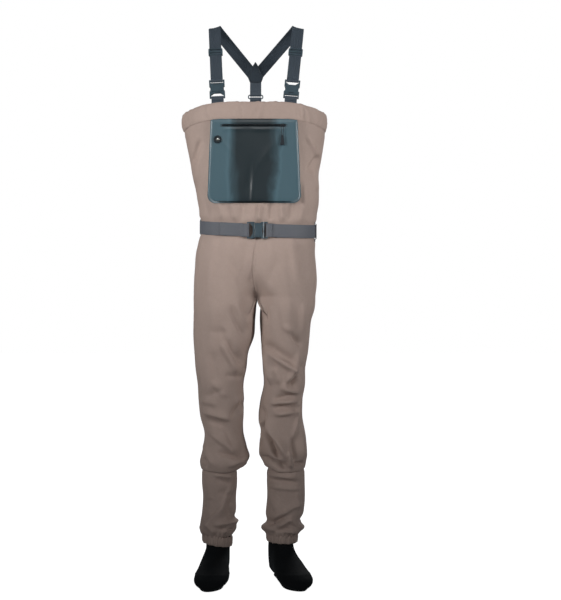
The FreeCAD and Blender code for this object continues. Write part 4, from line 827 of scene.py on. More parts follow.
def shell_parts():
    """The grids of the torso and of both legs; a leg's first ring is made of the torso's half and the crotch seam."""
    spacing = 5.0
    heights = np.linspace(CROTCH, HEM_BOTTOM + 5, int((HEM_BOTTOM + 5 - CROTCH) / spacing))
    torso = np.stack([torso_outline(h, QUARTER, -0.4) for h in heights])
    torso = valley(torso)
    rise = np.concatenate([QUARTER_RISE[:-1]] * 4)[None, :]
    x, y, z = torso[..., 0], torso[..., 1], torso[..., 2]
    level = z - belt_height(x, y)
    lift = fold(torso, "torso", 0.9, 3) * smooth(HEM_BOTTOM + 5, HEM_BOTTOM - 25, z)
    lift -= 3.0 * bell(level, 0, 20)
    lift += 3.0 * bell(level, 33, 12) + 1.6 * bell(level, -36, 16)
    lift += rise * smooth(CROTCH, CROTCH + 30, z)
    under_pocket = (
        smooth(-40, -70, y - CENTRE_Y) * smooth(138, 130, np.abs(x)) * smooth(1050, 1058, z) * smooth(1300, 1292, z)
    )
    lift = np.where(lift > -0.4, lift * (1 - under_pocket) - 0.4 * under_pocket, lift)
    lift = np.where(z > HEM_BOTTOM - 3, np.minimum(lift, 0.2), lift)
    torso = torso + outward_of(torso) * lift[..., None]

    half = 2 * (len(QUARTER) - 1)
    legs = {}
    for side, sign in SIDES.items():
        ring = torso[0][: half + 1] if side == "left" else np.vstack([torso[0][half:], torso[0][:1]])[::-1]
        front, back = ring[0], ring[-1]
        t = INNER[1:-1, None]
        seam = back * (1 - t) + front * t
        seam[:, 2] -= 5 * np.sin(math.pi * t[:, 0]) ** 0.7
        top = np.vstack([ring, seam])
        rows = []
        count = 104
        for k in range(1, count):
            down = k / (count - 1)
            nominal = CROTCH - down * (CROTCH - LEG_BOTTOM)
            shape = leg_outline(LEGS[side], nominal, sign, QUARTER, INNER)
            fall = CROTCH - nominal
            weight = np.full((len(top), 1), float(smooth(0, 74, fall)))
            inside = np.sin(math.pi * t) ** 0.5
            weight[half + 1:] += (float(smooth(0, 24, fall)) - weight[half + 1:]) * inside
            ring_now = top * (1 - weight) + shape * weight
            ring_now[:, 2] = (top[:, 2] - CROTCH) * (1 - smooth(0, 40, fall)) + nominal
            rows.append(ring_now)
        leg = np.stack(rows)[::-1]
        centre = leg[..., 0].mean(axis=1, keepdims=True)
        reach = np.abs(leg[..., 0] - centre) / np.abs(leg[..., 0] - centre).max(axis=1, keepdims=True)
        inner_half = (leg[..., 0] - centre) * sign < 0
        leg[..., 2] += (10 + 6 * reach**2 + 9 * reach**2 * inner_half) * smooth(370, LEG_BOTTOM, leg[..., 2])
        rise = np.concatenate([np.zeros(half), INNER_RISE[:-1]])
        side_seam = len(QUARTER) - 1
        distance = np.abs(np.arange(len(rise)) - side_seam)
        rise += np.interp(distance, np.arange(len(SEAM_RISE)), SEAM_RISE * 0.8)
        near_top = smooth(CROTCH - 4, CROTCH - 50, leg[..., 2])
        lift = (fold(leg, side, 1.1, 5 if side == "left" else 7) + rise[None, :]) * near_top
        lift *= smooth(292, 318, leg[..., 2])
        outward = outward_of(leg) * sign
        leg = leg + outward * lift[..., None]
        # the bottom turns in and under, to the seam with the gravel guard
        edge = leg[0]
        inward = -outward[0] * np.array([1, 1, 0])
        inward = inward / np.linalg.norm(inward, axis=1, keepdims=True)
        turned = [edge + inward * d + np.array([0, 0, h]) for d, h in
                  ((17, 4.0), (16, -1.0), (13, -5.5), (9, -8.0), (5, -7.6), (2, -5.0))]
        legs[side] = (np.concatenate([np.stack(turned), leg]), top)
    return torso, legs


def dip(points):
    """The rim is lower at the sides than at the front and back."""
    moved = points.copy()
    x, z = points[..., 0], points[..., 2]
    moved[..., 2] -= RIM_DIP * np.clip(np.abs(x) / RIM_HALF_WIDTH, 0, 1.03) ** 4 * smooth(1080, 1300, z)
    return moved


def make_shell():
    torso, legs = shell_parts()
    torso = dip(torso)
    rows, columns = torso.shape[:2]
    points = [torso.reshape(-1, 3)]
    faces = [grid_faces(rows, columns, True)]
    uv = [grid_uv(torso, True)]
    half = 2 * (len(QUARTER) - 1)
    inner_count = len(INNER) - 2
    first_seam = rows * columns
    points.append(legs["left"][1][half + 1:])
    total = first_seam + inner_count
    seam_ids = np.arange(first_seam, total)
    for side, (leg, top) in legs.items():
        if side == "left":
            ids = np.concatenate([np.arange(half + 1), seam_ids])
        else:
            ids = np.concatenate([[0], np.arange(columns - 1, half - 1, -1), seam_ids])
        count = leg.shape[1]
        block = grid_faces(leg.shape[0], count, True, total)
        last = total + (leg.shape[0] - 1) * count
        c = np.arange(count)
        n = (c + 1) % count
        join = np.stack([last + c, last + n, ids[n], ids[c]], 1)
        with_top = np.concatenate([leg, top[None]])
        leg_uv = grid_uv(with_top, True).reshape(-1, 4, 2)
        block = np.vstack([block, join])
        if side == "right":
            block, leg_uv = block[:, ::-1], leg_uv[:, ::-1]
        points.append(leg.reshape(-1, 3))
        faces.append(block)
        uv.append(leg_uv.reshape(-1, 2))
        total += leg.shape[0] * count
    shell = make_object("shell", np.vstack(points), np.vstack(faces), np.vstack(uv))
    thicken(shell, 1.1)
    return dress(shell, "shell_fabric", nodes=[
        "front_panel_left", "front_panel_right", "back_panel_left", "back_panel_right", "crotch_gusset",
        "leg_front_left", "leg_front_right", "leg_back_left", "leg_back_right",
    ])


def make_hem():
    """The folded band at the top, drawn up in puckers by its elastic."""
    quarter = np.linspace(0, 1, 171)
    profile = [
        (1289.5, 0.4), (1291.5, 1.5), (1296, 1.9), (1304, 2.9), (1314, 3.3), (1324, 2.9), (1331, 2.1), (1335, 0.8),
        (1336.4, -1.0), (1335.2, -2.8), (1331, -3.9), (1322, -4.3), (1308, -4.3), (1296, -3.9),
        (1291, -3.2), (1289.5, -1.8),
    ]
    rings = []
    draw = np.random.default_rng(21)
    outline = torso_outline(HEM_TOP, quarter)
    run = np.concatenate([[0], np.cumsum(np.linalg.norm(np.diff(outline, axis=0), axis=1))])
    around = run[-1]
    places, at = [], 0.0
    while at < around:
        places.append((at, draw.uniform(-44, 44), draw.uniform(0.4, 1.0), draw.uniform(4.0, 8.0)))
        at += draw.uniform(17, 42)
    for height, offset in profile:
        ring = torso_outline(min(height, HEM_TOP), quarter, offset)
        ring[:, 2] += height - min(height, HEM_TOP)
        share = (height - HEM_BOTTOM) / (HEM_TOP - HEM_BOTTOM)
        pucker = np.zeros(len(ring))
        for place, lean, strength, width in places:
            away = run - place - lean * (share - 0.5)
            away -= around * np.round(away / around)
            pucker += strength * (bell(away, 0, width) - 0.8 * bell(away, width * 1.7, width))
        tabs = np.exp(-((np.abs(ring[:, 0]) - 101) / 19) ** 6) * (ring[:, 1] < CENTRE_Y)
        strength = 3.0 * math.sin(math.pi * min(max(share, 0.06), 0.94)) ** 0.6
        outward = unit(np.stack([
            np.roll(ring[:, 1], -1) - np.roll(ring[:, 1], 1), np.roll(ring[:, 0], 1) - np.roll(ring[:, 0], -1), 0 * run,
        ], 1))
        ring += outward * (pucker * strength * (1 - 0.8 * tabs) + 0.8 * tabs * (offset > 1))[:, None]
        ring[:, 2] += pucker * 1.3 * share * (1 - tabs) + 1.3 * np.sin(run / around * 9 * math.pi) * share
        rings.append(ring)
    grid = dip(np.stack(rings + rings[:1]))
    hem = grid_object("chest_hem_band", grid, closed=True)
    return dress(hem, "shell_fabric", nodes=["chest_hem", "chest_hem_elastic"])


# ---------------------------------------------------------------- gravel guards and their cuffs

GUARD_FOLDS = {
    "right": [
        (-70, 262, -96, 200, 5.5, 11, 6), (-92, 204, -142, 152, 7.0, 13, 6), (-62, 250, -74, 186, -5.0, 10, 8),
        (-128, 290, -130, 190, 3.0, 16, 10), (-104, 284, -66, 272, -4.0, 8, 6), (-110, 298, -60, 290, 4.0, 7, 5),
        (-66, 210, -58, 176, 4.0, 9, 6), (-112, 156, -52, 164, 7.0, 10, 5), (-98, 146, -58, 142, -7.0, 8, 6),
        (-140, 160, -112, 134, 5.0, 9, 6), (-150, 150, -146, 130, 4.0, 7, 5), (-86, 138, -60, 150, 5.0, 7, 5),
        (-124, 230, -138, 200, -3.0, 12, 9), (-100, 250, -70, 238, -3.0, 10, 8),
    ],
    "left": [
        (40, 284, 126, 276, -5.0, 7, 5), (46, 296, 110, 290, 4.0, 7, 5), (48, 262, 130, 256, 3.5, 8, 5),
        (42, 244, 60, 196, 4.0, 14, 9), (50, 172, 98, 198, 7.0, 13, 6), (96, 200, 130, 214, 4.0, 12, 7),
        (44, 158, 84, 178, -7.0, 9, 6), (70, 152, 108, 178, 6.0, 9, 6), (28, 150, 54, 142, 6.0, 8, 5),
        (98, 170, 128, 146, 7.0, 9, 6), (60, 142, 98, 148, -6.0, 8, 6), (118, 250, 124, 200, 3.0, 12, 9),
        (84, 140, 118, 134, 5.0, 6, 5),
    ],
}


def make_guard(side, sign):
    """The outer tube over the lower leg, loose above its cuff."""
    heights = np.linspace(CUFF_BOTTOM + 24, 336, 74)
    half = np.linspace(0, 1, 62)
    rings = []
    for height in heights:
        ring = leg_outline(GUARDS[side], min(height, 300), sign, half, half)
        ring[:, 2] = height
        tuck = smooth(298, 330, height) * 9
        centre = ring.mean(axis=0)
        away = ring - centre
        away[:, 2] = 0
        ring -= unit(np.where(np.abs(away) < 1e-6, 1e-6, away)) * tuck
        rings.append(ring)
    guard = np.stack(rings)
    outward = outward_of(guard) * sign
    front, back = on_front_and_back(outward)
    shifted = [
        (x0 + 9 * sign, z0 - 6, x1 + 9 * sign, z1 + 8, *rest) for x0, z0, x1, z1, *rest in GUARD_FOLDS[side]
    ]
    lift = 1.2 * (front * creases(guard, GUARD_FOLDS[side]) + 0.8 * back * creases(guard, shifted))
    lift += wrinkles(guard, 31 if side == "left" else 37, 26.0, 1.4)
    z = guard[..., 2]
    if side == "right":
        inner_side = smooth(0.5, 0.95, outward[..., 0])
        lift += inner_side * (9 * bell(z, 160, 7) - 4 * bell(z, 178, 9))
    else:
        across_side = np.abs(outward[..., 0]) ** 3
        lift += across_side * (8 * bell(z, 143, 8) - 3 * bell(z, 164, 10))
    lift *= smooth(120, 134, z) * smooth(330, 300, z)
    # gathers run up from the cuff
    centre = guard.mean(axis=1, keepdims=True)
    turn = np.arctan2(guard[..., 1] - centre[..., 1], guard[..., 0] - centre[..., 0])
    lift += 1.6 * np.sin(turn * 23 + 1.5 * np.sin(turn * 5)) * smooth(150, 126, z)
    guard = guard + outward * lift[..., None]
    piece = grid_object(f"gravel_guard_cloth_{side}", guard, closed=True, flip=sign < 0)
    thicken(piece, 0.9)
    return dress(piece, "shell_fabric", nodes=[f"gravel_guard_{side}"])


def make_cuff(side, sign, nodes):
    """The elastic hem at the bottom of the gravel guard."""
    profile = [
        (CUFF_BOTTOM, 0.2), (CUFF_BOTTOM + 1.5, 1.4), (CUFF_BOTTOM + 7, 2.3), (CUFF_BOTTOM + 14, 2.5),
        (CUFF_BOTTOM + 21, 2.2), (CUFF_BOTTOM + 26, 1.0), (CUFF_BOTTOM + 27.5, -0.8), (CUFF_BOTTOM + 24, -2.4),
        (CUFF_BOTTOM + 14, -3.0), (CUFF_BOTTOM + 4, -2.6), (CUFF_BOTTOM, -1.4),
    ]
    half = np.linspace(0, 1, 110)
    draw = np.random.default_rng(41 if side == "left" else 43)
    rings = []
    phases = draw.uniform(0, 2 * math.pi, 4)
    for height, offset in profile:
        ring = leg_outline(GUARDS[side], min(height, 122), sign, half, half, offset)
        ring[:, 2] = height
        centre = ring.mean(axis=0)
        turn = np.arctan2(ring[:, 1] - centre[1], ring[:, 0] - centre[0])
        share = (height - CUFF_BOTTOM) / 27
        gathers = np.sin(turn * 31 + 1.4 * np.sin(turn * 7 + phases[0])) + 0.6 * np.sin(turn * 19 + phases[1])
        outward = unit((ring - centre) * np.array([1, 1, 0]) + 1e-9)
        ring += outward * (gathers * (0.75 + 0.35 * share))[:, None]
        # the cuff slants a little down towards the inner side
        slant = {"right": -0.16, "left": -0.05}[side]
        ring[:, 2] += slant * (ring[:, 0] - centre[0]) + 0.6 * np.sin(turn * 13 + phases[2])
        if side == "left":
            ring[:, 2] += 5 - (share - 0.5) * 4
        rings.append(ring)
    piece = grid_object(f"guard_cuff_{side}", np.stack(rings + rings[:1]), closed=True, flip=sign < 0)
    return dress(piece, "shell_fabric", nodes=nodes)


def ankle_ring(side, angle, offset, height):
    """A ring round the bootie's neck, so far outside it."""
    return np.stack([
        ANKLE_X[side] + (ANKLE_HALF_WIDTH + offset) * np.cos(angle),
        CENTRE_Y + (ANKLE_HALF_DEPTH + offset) * np.sin(angle), np.full(len(angle), float(height)),
    ], 1)


def make_inner_leg(side, sign):
    """The waterproof leg inside the guard, down to the bootie's neck."""
    top = leg_outline(GUARDS[side], 288, sign, np.linspace(0, 1, 50), np.linspace(0, 1, 50), -11.0)
    angle = np.arctan2(top[:, 1] - CENTRE_Y, top[:, 0] - top[:, 0].mean())
    neck = ankle_ring(side, angle, 0, 0)
    rings = []
    for height in np.linspace(150, 296, 44):
        share = float(smooth(161, 296, height))
        ring = neck * (1 - share) + top * share
        ring[:, 2] = height
        rings.append(ring)
    grid = np.stack(rings)
    lift = 1.2 * wrinkles(grid, 53, 20.0, 1.2) * smooth(160, 185, grid[..., 2])
    grid = grid + outward_of(grid) * sign * lift[..., None]
    piece = grid_object(f"inner_leg_cloth_{side}", grid, closed=True, flip=sign < 0)
    thicken(piece, 0.8)
    dress(piece, "shell_fabric", nodes=[f"inner_leg_{side}"])


def make_tapes():
    """The tape heat-sealed over each seam between leg and bootie."""
    angle = np.linspace(0, 2 * math.pi, 96, endpoint=False)
    points, faces, uv = [], [], []
    profile = [(143, 0.9), (143.6, 1.7), (152, 1.9), (160.4, 1.7), (161, 0.9)]
    for side in SIDES:
        grid = np.stack([ankle_ring(side, angle, offset, height) for height, offset in profile])
        faces.append(grid_faces(len(profile), len(angle), True, sum(len(p) for p in points)))
        uv.append(grid_uv(grid, True))
        points.append(grid.reshape(-1, 3))
    piece = make_object("seam_tapes", np.vstack(points), np.vstack(faces), np.vstack(uv))
    thicken(piece, 0.5)
    return dress(piece, "seam_tape", nodes=["bootie_seam_tapes"])


# ---------------------------------------------------------------- booties

# each section of the sock: its upper end and its lower end, as (ahead of the ankle, height), and its half width
SOCK = [
    ((203, 15), (203.5, 9), 4), ((201, 22), (202, 6.5), 13), ((195, 29.5), (196, 5.2), 23), ((183, 37), (184, 5), 34.5),
    ((162, 45), (164, 5), 44), ((140, 51.5), (144, 5), 47), ((118, 58), (123, 5), 47.5), ((94, 66), (98, 5), 45.5),
    ((72, 75), (72, 5), 43), ((56, 84), (44, 5), 40), ((47, 94), (12, 5), 37.5), ((43, 104), (-22, 5), 35.5),
    ((41.5, 114), (-46, 7), 34), ((41, 123), (-59, 17), 33.5), ((40.5, 131), (-63.5, 36), 33.5),
    ((40, 139), (-62, 62), 34), ((40, 146), (-54, 92), 34.5), ((40, 152), (-45, 122), 34.5),
    ((40, 157), (-41, 153), 34.5),
]


def foot_frame(side):
    turn = math.radians({"right": -6.0, "left": 17.0}[side])
    middle = np.array([ANKLE_X[side], CENTRE_Y, 0])
    return middle, np.array([math.sin(turn), -math.cos(turn), 0]), np.array([math.cos(turn), math.sin(turn), 0])


def make_bootie(side, sign):
    middle, ahead, across = foot_frame(side)
    table = [(i, *upper, *lower, width) for i, (upper, lower, width) in enumerate(SOCK)]
    around = np.linspace(0, 2 * math.pi, 72, endpoint=False)
    rings = []
    for station in np.linspace(0, len(SOCK) - 1, 92):
        ux, uz, lx, lz, width = along_table(table, station)
        flat = float(smooth(1, 4, station) * (1 - smooth(11.5, 14, station)))
        bend = 1 - 0.2 * flat * (np.cos(around) < 0)
        c, s = power(np.cos(around), bend), np.sin(around)
        # the big toe's side is fuller
        shift = 5.0 * float(smooth(10, 5, station)) * -sign
        along = (ux + lx) / 2 + (ux - lx) / 2 * c
        height = (uz + lz) / 2 + (uz - lz) / 2 * c
        ring = middle + along[:, None] * ahead + (width * s + shift)[:, None] * across
        ring[:, 2] = height
        rings.append(ring)
    grid = np.stack(rings[::-1])
    normal = outward_of(grid)
    # creases across the front of the ankle and a flat glued seam round the foot
    z = grid[..., 2]
    forward = ((grid - middle) * ahead).sum(-1)
    top_side = smooth(0.1, 0.6, normal[..., 2])
    instep = ((1.6, 66, 7), (-1.8, 56, 6), (1.2, 88, 8), (-1.2, 78, 6))
    lift = top_side * sum(height * bell(forward, place, width) for height, place, width in instep)
    lift += 0.6 * np.sin(forward / 13 + ((grid - middle) * across).sum(-1) / 19) * smooth(30, 60, z)
    lift += 0.9 * bell(z - 24 - 0.1 * np.abs(forward), 0, 2.6) * smooth(0, 12, z)
    outer = grid.copy()
    centre = grid.mean(axis=1, keepdims=True)
    sense = np.sign((normal * (grid - centre)).sum(-1, keepdims=True).mean())
    outer += normal * sense * lift[..., None]
    tip = len(outer) - 1
    piece = grid_object(f"bootie_sock_{side}", outer, closed=True, flip=sense < 0)
    # close the toe's end
    mesh = piece.data
    faces = [tuple(p.vertices) for p in mesh.polygons]
    ring = [tip * len(around) + k for k in range(len(around))]
    faces.append(tuple(ring if sense > 0 else ring[::-1]))
    points = [tuple(v.co / MM) for v in mesh.vertices]
    bpy.data.objects.remove(piece)
    piece = make_object(f"bootie_sock_{side}", points, faces)
    thicken(piece, 2.6)
    return dress(piece, "neoprene", nodes=[f"bootie_{side}"])


def make_sole(side, sign):
    """A dense pad under the foot with rounded edges."""
    middle, ahead, across = foot_frame(side)
    stations = np.array([
        (-38, 4, 0), (-36, 9, 0), (-31, 14, 0), (-20, 17, 0), (0, 19, 0), (30, 21, 1), (70, 25, 3), (118, 31, 4),
        (146, 30, 4), (166, 24, 3), (180, 15, 2), (186, 8, 1), (188, 3, 0.5),
    ], float)
    left = np.stack([stations[:, 0], stations[:, 2] + stations[:, 1]], 1)
    right = np.stack([stations[:, 0], stations[:, 2] - stations[:, 1]], 1)[::-1]
    loop = smooth_path(np.vstack([left, right, left[:1]]), 2.5)[:-1]
    tangent = np.roll(loop, -1, axis=0) - np.roll(loop, 1, axis=0)
    outward = unit(np.stack([-tangent[:, 1], tangent[:, 0]], 1))
    rings = []
    profile = [
        (-14, 0.0), (-3, 0.0), (-0.8, 0.5), (0.4, 1.9), (0.8, 3.6), (0.2, 5.4), (-1.6, 7.0), (-7, 7.2), (-14, 6.0),
    ]
    for offset, height in profile:
        flat = loop + outward * offset
        ring = middle + flat[:, :1] * ahead + (-sign * flat[:, 1:]) * across
        ring[:, 2] = height
        rings.append(ring)
    grid = np.stack(rings)
    count = grid.shape[1]
    faces = [tuple(f) for f in grid_faces(len(rings), count, True)]
    faces.append(tuple(range(count - 1, -1, -1)))
    faces.append(tuple(range((len(rings) - 1) * count, len(rings) * count)))
    if sign > 0:
        faces = [f[::-1] for f in faces]
    piece = make_object(f"bootie_tread_{side}", grid.reshape(-1, 3), faces)
    return dress(piece, "sole_rubber", nodes=[f"bootie_sole_{side}"])


make_shell()
make_hem()
for side, sign in SIDES.items():
    make_guard(side, sign)
    make_cuff(side, sign, [f"guard_hem_{side}"] + (["guard_elastics"] if side == "left" else []))
    make_inner_leg(side, sign)
    make_bootie(side, sign)
    make_sole(side, sign)
make_tapes()


# ---------------------------------------------------------------- webbing

WEB = 1.8
BELT_WIDTH, SUSPENDER_WIDTH, REAR_WIDTH = 37.0, 34.0, 33.0
UP = np.array([0.0, 0.0, 1.0])
ACROSS = np.array([1.0, 0.0, 0.0])


class Place:
    """A piece's own frame: along is its +Z and across its +X as nearly as it can be."""

    def __init__(self, origin, across, along):
        self.origin = np.asarray(origin, float)
        self.z = unit(along)
        across = np.asarray(across, float)
        self.x = unit(across - self.z * (across @ self.z))
        self.y = np.cross(self.z, self.x)

    def at(self, x, y, z):
        return self.origin + self.x * x + self.y * y + self.z * z


def bar_loop(place, bar_at, toward, near, far):
    """Webbing's middle line round a buckle's bar, inner layer first."""
    turn, apart = 3.2, WEB / 2 + 0.15
    line = [(-apart, bar_at + toward * far), (-apart, bar_at + toward * near), (-turn, bar_at + toward * 3)]
    line += [(-turn * math.cos(a), bar_at - toward * turn * math.sin(a)) for a in np.linspace(0, math.pi, 9)]
    line += [(turn, bar_at + toward * 3), (apart, bar_at + toward * near), (apart, bar_at + toward * far)]
    path = [place.at(0, y, z) for y, z in line]
    return path if path[0][1] > path[-1][1] else path[::-1]


def belt_ring(offset):
    ring = torso_outline(BELT_LEVEL, np.linspace(0, 1, 40), offset)
    ring[:, 2] = belt_height(ring[:, 0], ring[:, 1])
    return ring


def belt_front(offset, places):
    """Stations of the belt's front at the given x."""
    ring = belt_ring(offset)
    ring = ring[ring[:, 1] < CENTRE_Y]
    ring = ring[np.argsort(ring[:, 0])]
    return [np.array([x, np.interp(x, ring[:, 0], ring[:, 1]), np.interp(x, ring[:, 0], ring[:, 2])]) for x in places]


BELT_BUCKLE = Place((9.5, -75.6, 982.4), UP, -ACROSS)
STAND_OFF = 4.0


def make_belt():
    socket = bar_loop(BELT_BUCKLE, -27, -1, 9.0, 13.0)
    ring = belt_ring(STAND_OFF)
    front = ring[:, 1] < CENTRE_Y
    first = next(i for i in range(len(ring)) if ring[i, 0] > socket[0][0] + 9)
    last = max(i for i in range(len(ring)) if not (front[i] and ring[i, 0] > -76) and i > first)
    path = socket[::-1] + list(ring[first:last + 1]) + belt_front(STAND_OFF, [-76.0])
    path = smooth_path(path, 3.0)
    clear_of_plug = np.abs(path[:, 0] - 40) > 25
    path[:, 1] += 0.5 * np.sin(path[:, 0] / 23) * clear_of_plug
    dress(ribbon("belt", path, UP, BELT_WIDTH, WEB, spacing=3.0), "belt_webbing", nodes=["belt_webbing"])

    plug = bar_loop(BELT_BUCKLE, 27, 1, 9.0, 13.0)
    x_loop = plug[0][0] - 8
    end = belt_front(STAND_OFF, np.linspace(-75.7, x_loop, 5)) + plug
    end += belt_front(STAND_OFF + WEB + 0.3, np.linspace(x_loop, -94, 7))
    piece = ribbon("belt_adjusting_end", end, UP, BELT_WIDTH - 0.6, WEB, spacing=2.0)
    dress(piece, "belt_webbing", body=None, nodes=["belt_end"])
    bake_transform(piece)
    make_belt_loops()


def make_belt_loops():
    """Four short webbing loops that hold the belt, each sewn down at both ends."""
    points, faces, uv, tacks = [], [], [], []
    for angle in (-14.0, 62.0, 118.0, 166.0):
        ring = torso_outline(BELT_LEVEL, np.linspace(0, 1, 200))
        turn = np.degrees(np.arctan2((ring[:, 1] - CENTRE_Y) * 1.45, ring[:, 0]))
        i = int(np.argmin(np.abs((turn - angle + 180) % 360 - 180)))
        side = unit(ring[(i + 4) % len(ring)] - ring[i - 4])
        outward = np.cross(side, UP)
        middle = ring[i].copy()
        middle[2] = belt_height(middle[0], middle[1])
        lift, sewn = STAND_OFF + WEB / 2 + 0.9, 2.5
        half = [(10, lift + 0.3), (20.5, lift), (23, sewn), (29, sewn)]
        rows = [(-height, out) for height, out in half[::-1]] + half
        path = [middle + outward * out + UP * height for height, out in rows]
        loop = ribbon("loop", path, side, 12.0, 1.2, spacing=2.0)
        base = len(points)
        points += [tuple(v.co / MM) for v in loop.data.vertices]
        faces += [tuple(v + base for v in p.vertices) for p in loop.data.polygons]
        uv += [tuple(c.uv / MM) for c in loop.data.uv_layers[0].data]
        bpy.data.objects.remove(loop)
        for height in (-26, 26):
            for shift in (-1.2, 0.0, 1.2):
                centre = middle + outward * 3.2 + UP * (height + shift)
                tacks.append((np.stack([centre - side * 5, centre + side * 5]), outward))
    dress(make_object("belt_loops_sewn", points, faces, uv), "loop_fabric", nodes=["belt_loops"])
    dress(stitches("belt_loop_tacks", tacks, 1.6, 0.1, 0.3), "loop_fabric", material="dark_thread")


TAB_X = 101.0
STRAP_FEET = {side: np.array([sign * TAB_X, -63.0, 1341.0]) for side, sign in SIDES.items()}
STRAP_TOPS = {"right": np.array([-114.0, 28.0, 1552.0]), "left": np.array([122.0, 28.0, 1552.0])}
YOKE = Place((0, 139.4, 1447.0), ACROSS, (0, -0.643, 0.766))
RING = Place((0, 150.4, 1386.0), ACROSS, (0, -0.16, 1))


def suspender(name, path, across, rib_depth, spacing, width=SUSPENDER_WIDTH):
    """The suspenders' webbing, with five ribs."""
    return ribbon(name, path, across, width, WEB, ribs=5, rib_depth=rib_depth, spacing=spacing)


def make_front_strap(side, sign):
    foot, top = STRAP_FEET[side], STRAP_TOPS[side]
    way = unit(top - foot)
    place = Place(foot + way * 38, ACROSS, way)

    loop = bar_loop(place, -27, -1, 7.0, 9.0)
    loop = loop if loop[-1][1] > loop[0][1] else loop[::-1]
    low = [foot - UP * 4, foot - UP * 34]
    across = np.vstack([np.broadcast_to(place.x, (len(loop), 3)), np.broadcast_to(ACROSS, (2, 3))])
    tab = suspender(f"tab_{side}", loop + low, across, 0.22, 1.2)
    dress(tab, "suspender_webbing", nodes=[f"suspender_tab_{side}"])

    loop = bar_loop(place, 27, 1, 9.0, 95.0)
    front = suspender(f"lower_strap_{side}", loop, place.x, 0.24, 1.5)
    dress(front, "suspender_webbing", body=None, nodes=[f"front_strap_{side}"])
    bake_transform(front)

    back_top = np.array([sign * (abs(top[0]) - 11), CENTRE_Y + 8, top[2]])
    yoke = YOKE.at(sign * 2.0, sign * 2.1, -5.0)
    down = unit(yoke - back_top)
    back_side = unit(np.cross(YOKE.y, down))
    back_side = back_side if back_side[0] > 0 else -back_side
    over = cubic(np.linspace(0, 1, 9)[1:-1, None], top, way * 62, back_top, down * 62)
    shares = (np.arange(len(over)) + 1) / (len(over) + 1)
    path = np.vstack([foot + way * 160.3, top, over, back_top, yoke])
    sides = np.vstack([
        ACROSS, ACROSS, ACROSS * (1 - shares[:, None]) + back_side * shares[:, None], back_side, back_side,
    ])
    strap = suspender(f"upper_strap_{side}", path, sides, 0.24, 2.5)
    dress(strap, "suspender_webbing", nodes=[f"shoulder_strap_{side}"])


def make_yoke():
    outline = np.array([(-17, -20), (17, -20), (22.5, -4), (5.5, 34), (0, 43), (-5.5, 34), (-22.5, -4)], float)
    points, faces, runs = [], [], []

    def inset(by):
        centre = np.array([0, 6.0])
        away = outline - centre
        length = np.linalg.norm(away, axis=1, keepdims=True)
        shape = centre + away * (length - by) / length
        closed = np.vstack([shape, shape[:1]])
        return resample(closed, np.linspace(0, 1, 71))[:-1]

    for sign, low in ((1, 3.3), (-1, -3.3)):
        base = len(points)
        rings = [(0.6, 0.0), (0.0, 0.3), (0.0, 1.0), (0.8, 1.55), (2.5, 1.7), (12.0, 1.9)]
        for by, rise in rings:
            points += [YOKE.at(x, low + sign * rise, z) for x, z in inset(by)]
        count = 70
        block = [tuple(f) for f in grid_faces(len(rings), count, True, base)]
        block.append(tuple(base + (len(rings) - 1) * count + k for k in range(count)))
        block.append(tuple(base + k for k in range(count - 1, -1, -1)))
        faces += [f[::-1] for f in block] if sign > 0 else block
        for by in (2.6, 4.2):
            loop = [YOKE.at(x, low + sign * 1.7, z) for x, z in inset(by)]
            runs.append((np.array(loop + loop[:1]), YOKE.y * sign))
    flat = [(points[v] @ YOKE.x, points[v] @ YOKE.z) for f in faces for v in f]
    dress(make_object("yoke", points, faces, flat), "suspender_webbing", nodes=["yoke_patches"])
    return runs


def make_rear():
    turn, rod = 3.52, 5.15

    def round_rod(toward):
        line = [(-WEB * 0.62, toward * (rod + 11)), (-turn, toward * (rod + 3))]
        line += [(-turn * math.cos(a), toward * (rod - turn * math.sin(a) * 0.95)) for a in np.linspace(0, math.pi, 9)]
        line += [(turn, toward * (rod + 3)), (WEB * 0.62, toward * (rod + 11))]
        path = [RING.at(0, y, z) for y, z in line]
        return path if path[-1][1] > path[0][1] else path[::-1]

    upper = round_rod(1) + [YOKE.at(0, 0, -22), YOKE.at(0, 0, -6)]
    lower = round_rod(-1)[::-1] + [np.array([0, 152.4, 1355.6]), np.array([0, 152.4, 1320.6])]
    for name, path, cad_node in (("back_strap", upper, "rear_strap"), ("back_tab", lower, "rear_tab")):
        dress(suspender(name, path, ACROSS, 0.22, 1.4, REAR_WIDTH), "suspender_webbing", nodes=[cad_node])


make_belt()
for side, sign in SIDES.items():
    make_front_strap(side, sign)
make_rear()
yoke_runs = make_yoke()
dress(stitches("yoke_stitches", yoke_runs), "suspender_webbing", material="dark_thread")


# ---------------------------------------------------------------- chest pocket

POCKET_Y = -89.6
POCKET_BOTTOM, POCKET_TOP = 1062, 1286
POCKET_MIDDLE = 1170
CORNER, TOP_CORNER = 24, 4
ZIP_LEVEL = 1270.0


def pocket_half(z):
    """Half the pocket's width at a height, with its rounded corners."""
    half = np.interp(z, [POCKET_BOTTOM, POCKET_TOP], [127, 116])
    low = np.clip(POCKET_BOTTOM + CORNER - z, 0, CORNER)
    high = np.clip(z - (POCKET_TOP - TOP_CORNER), 0, TOP_CORNER)
    low_cut = CORNER - np.sqrt(CORNER**2 - low**2)
    return half - low_cut - (TOP_CORNER - np.sqrt(np.maximum(TOP_CORNER**2 - high**2, 0)))


def front_of_torso(x, z, offset):
    """How far forward the torso's outside is."""
    out = np.empty(np.shape(x))
    for index in np.ndindex(out.shape):
        outline = torso_outline(float(z[index]), np.linspace(0, 1, 30), offset)
        half = outline[np.r_[-29:0, 0:30]]
        half = half[np.argsort(half[:, 0])]
        out[index] = np.interp(x[index], half[:, 0], half[:, 1])
    return out


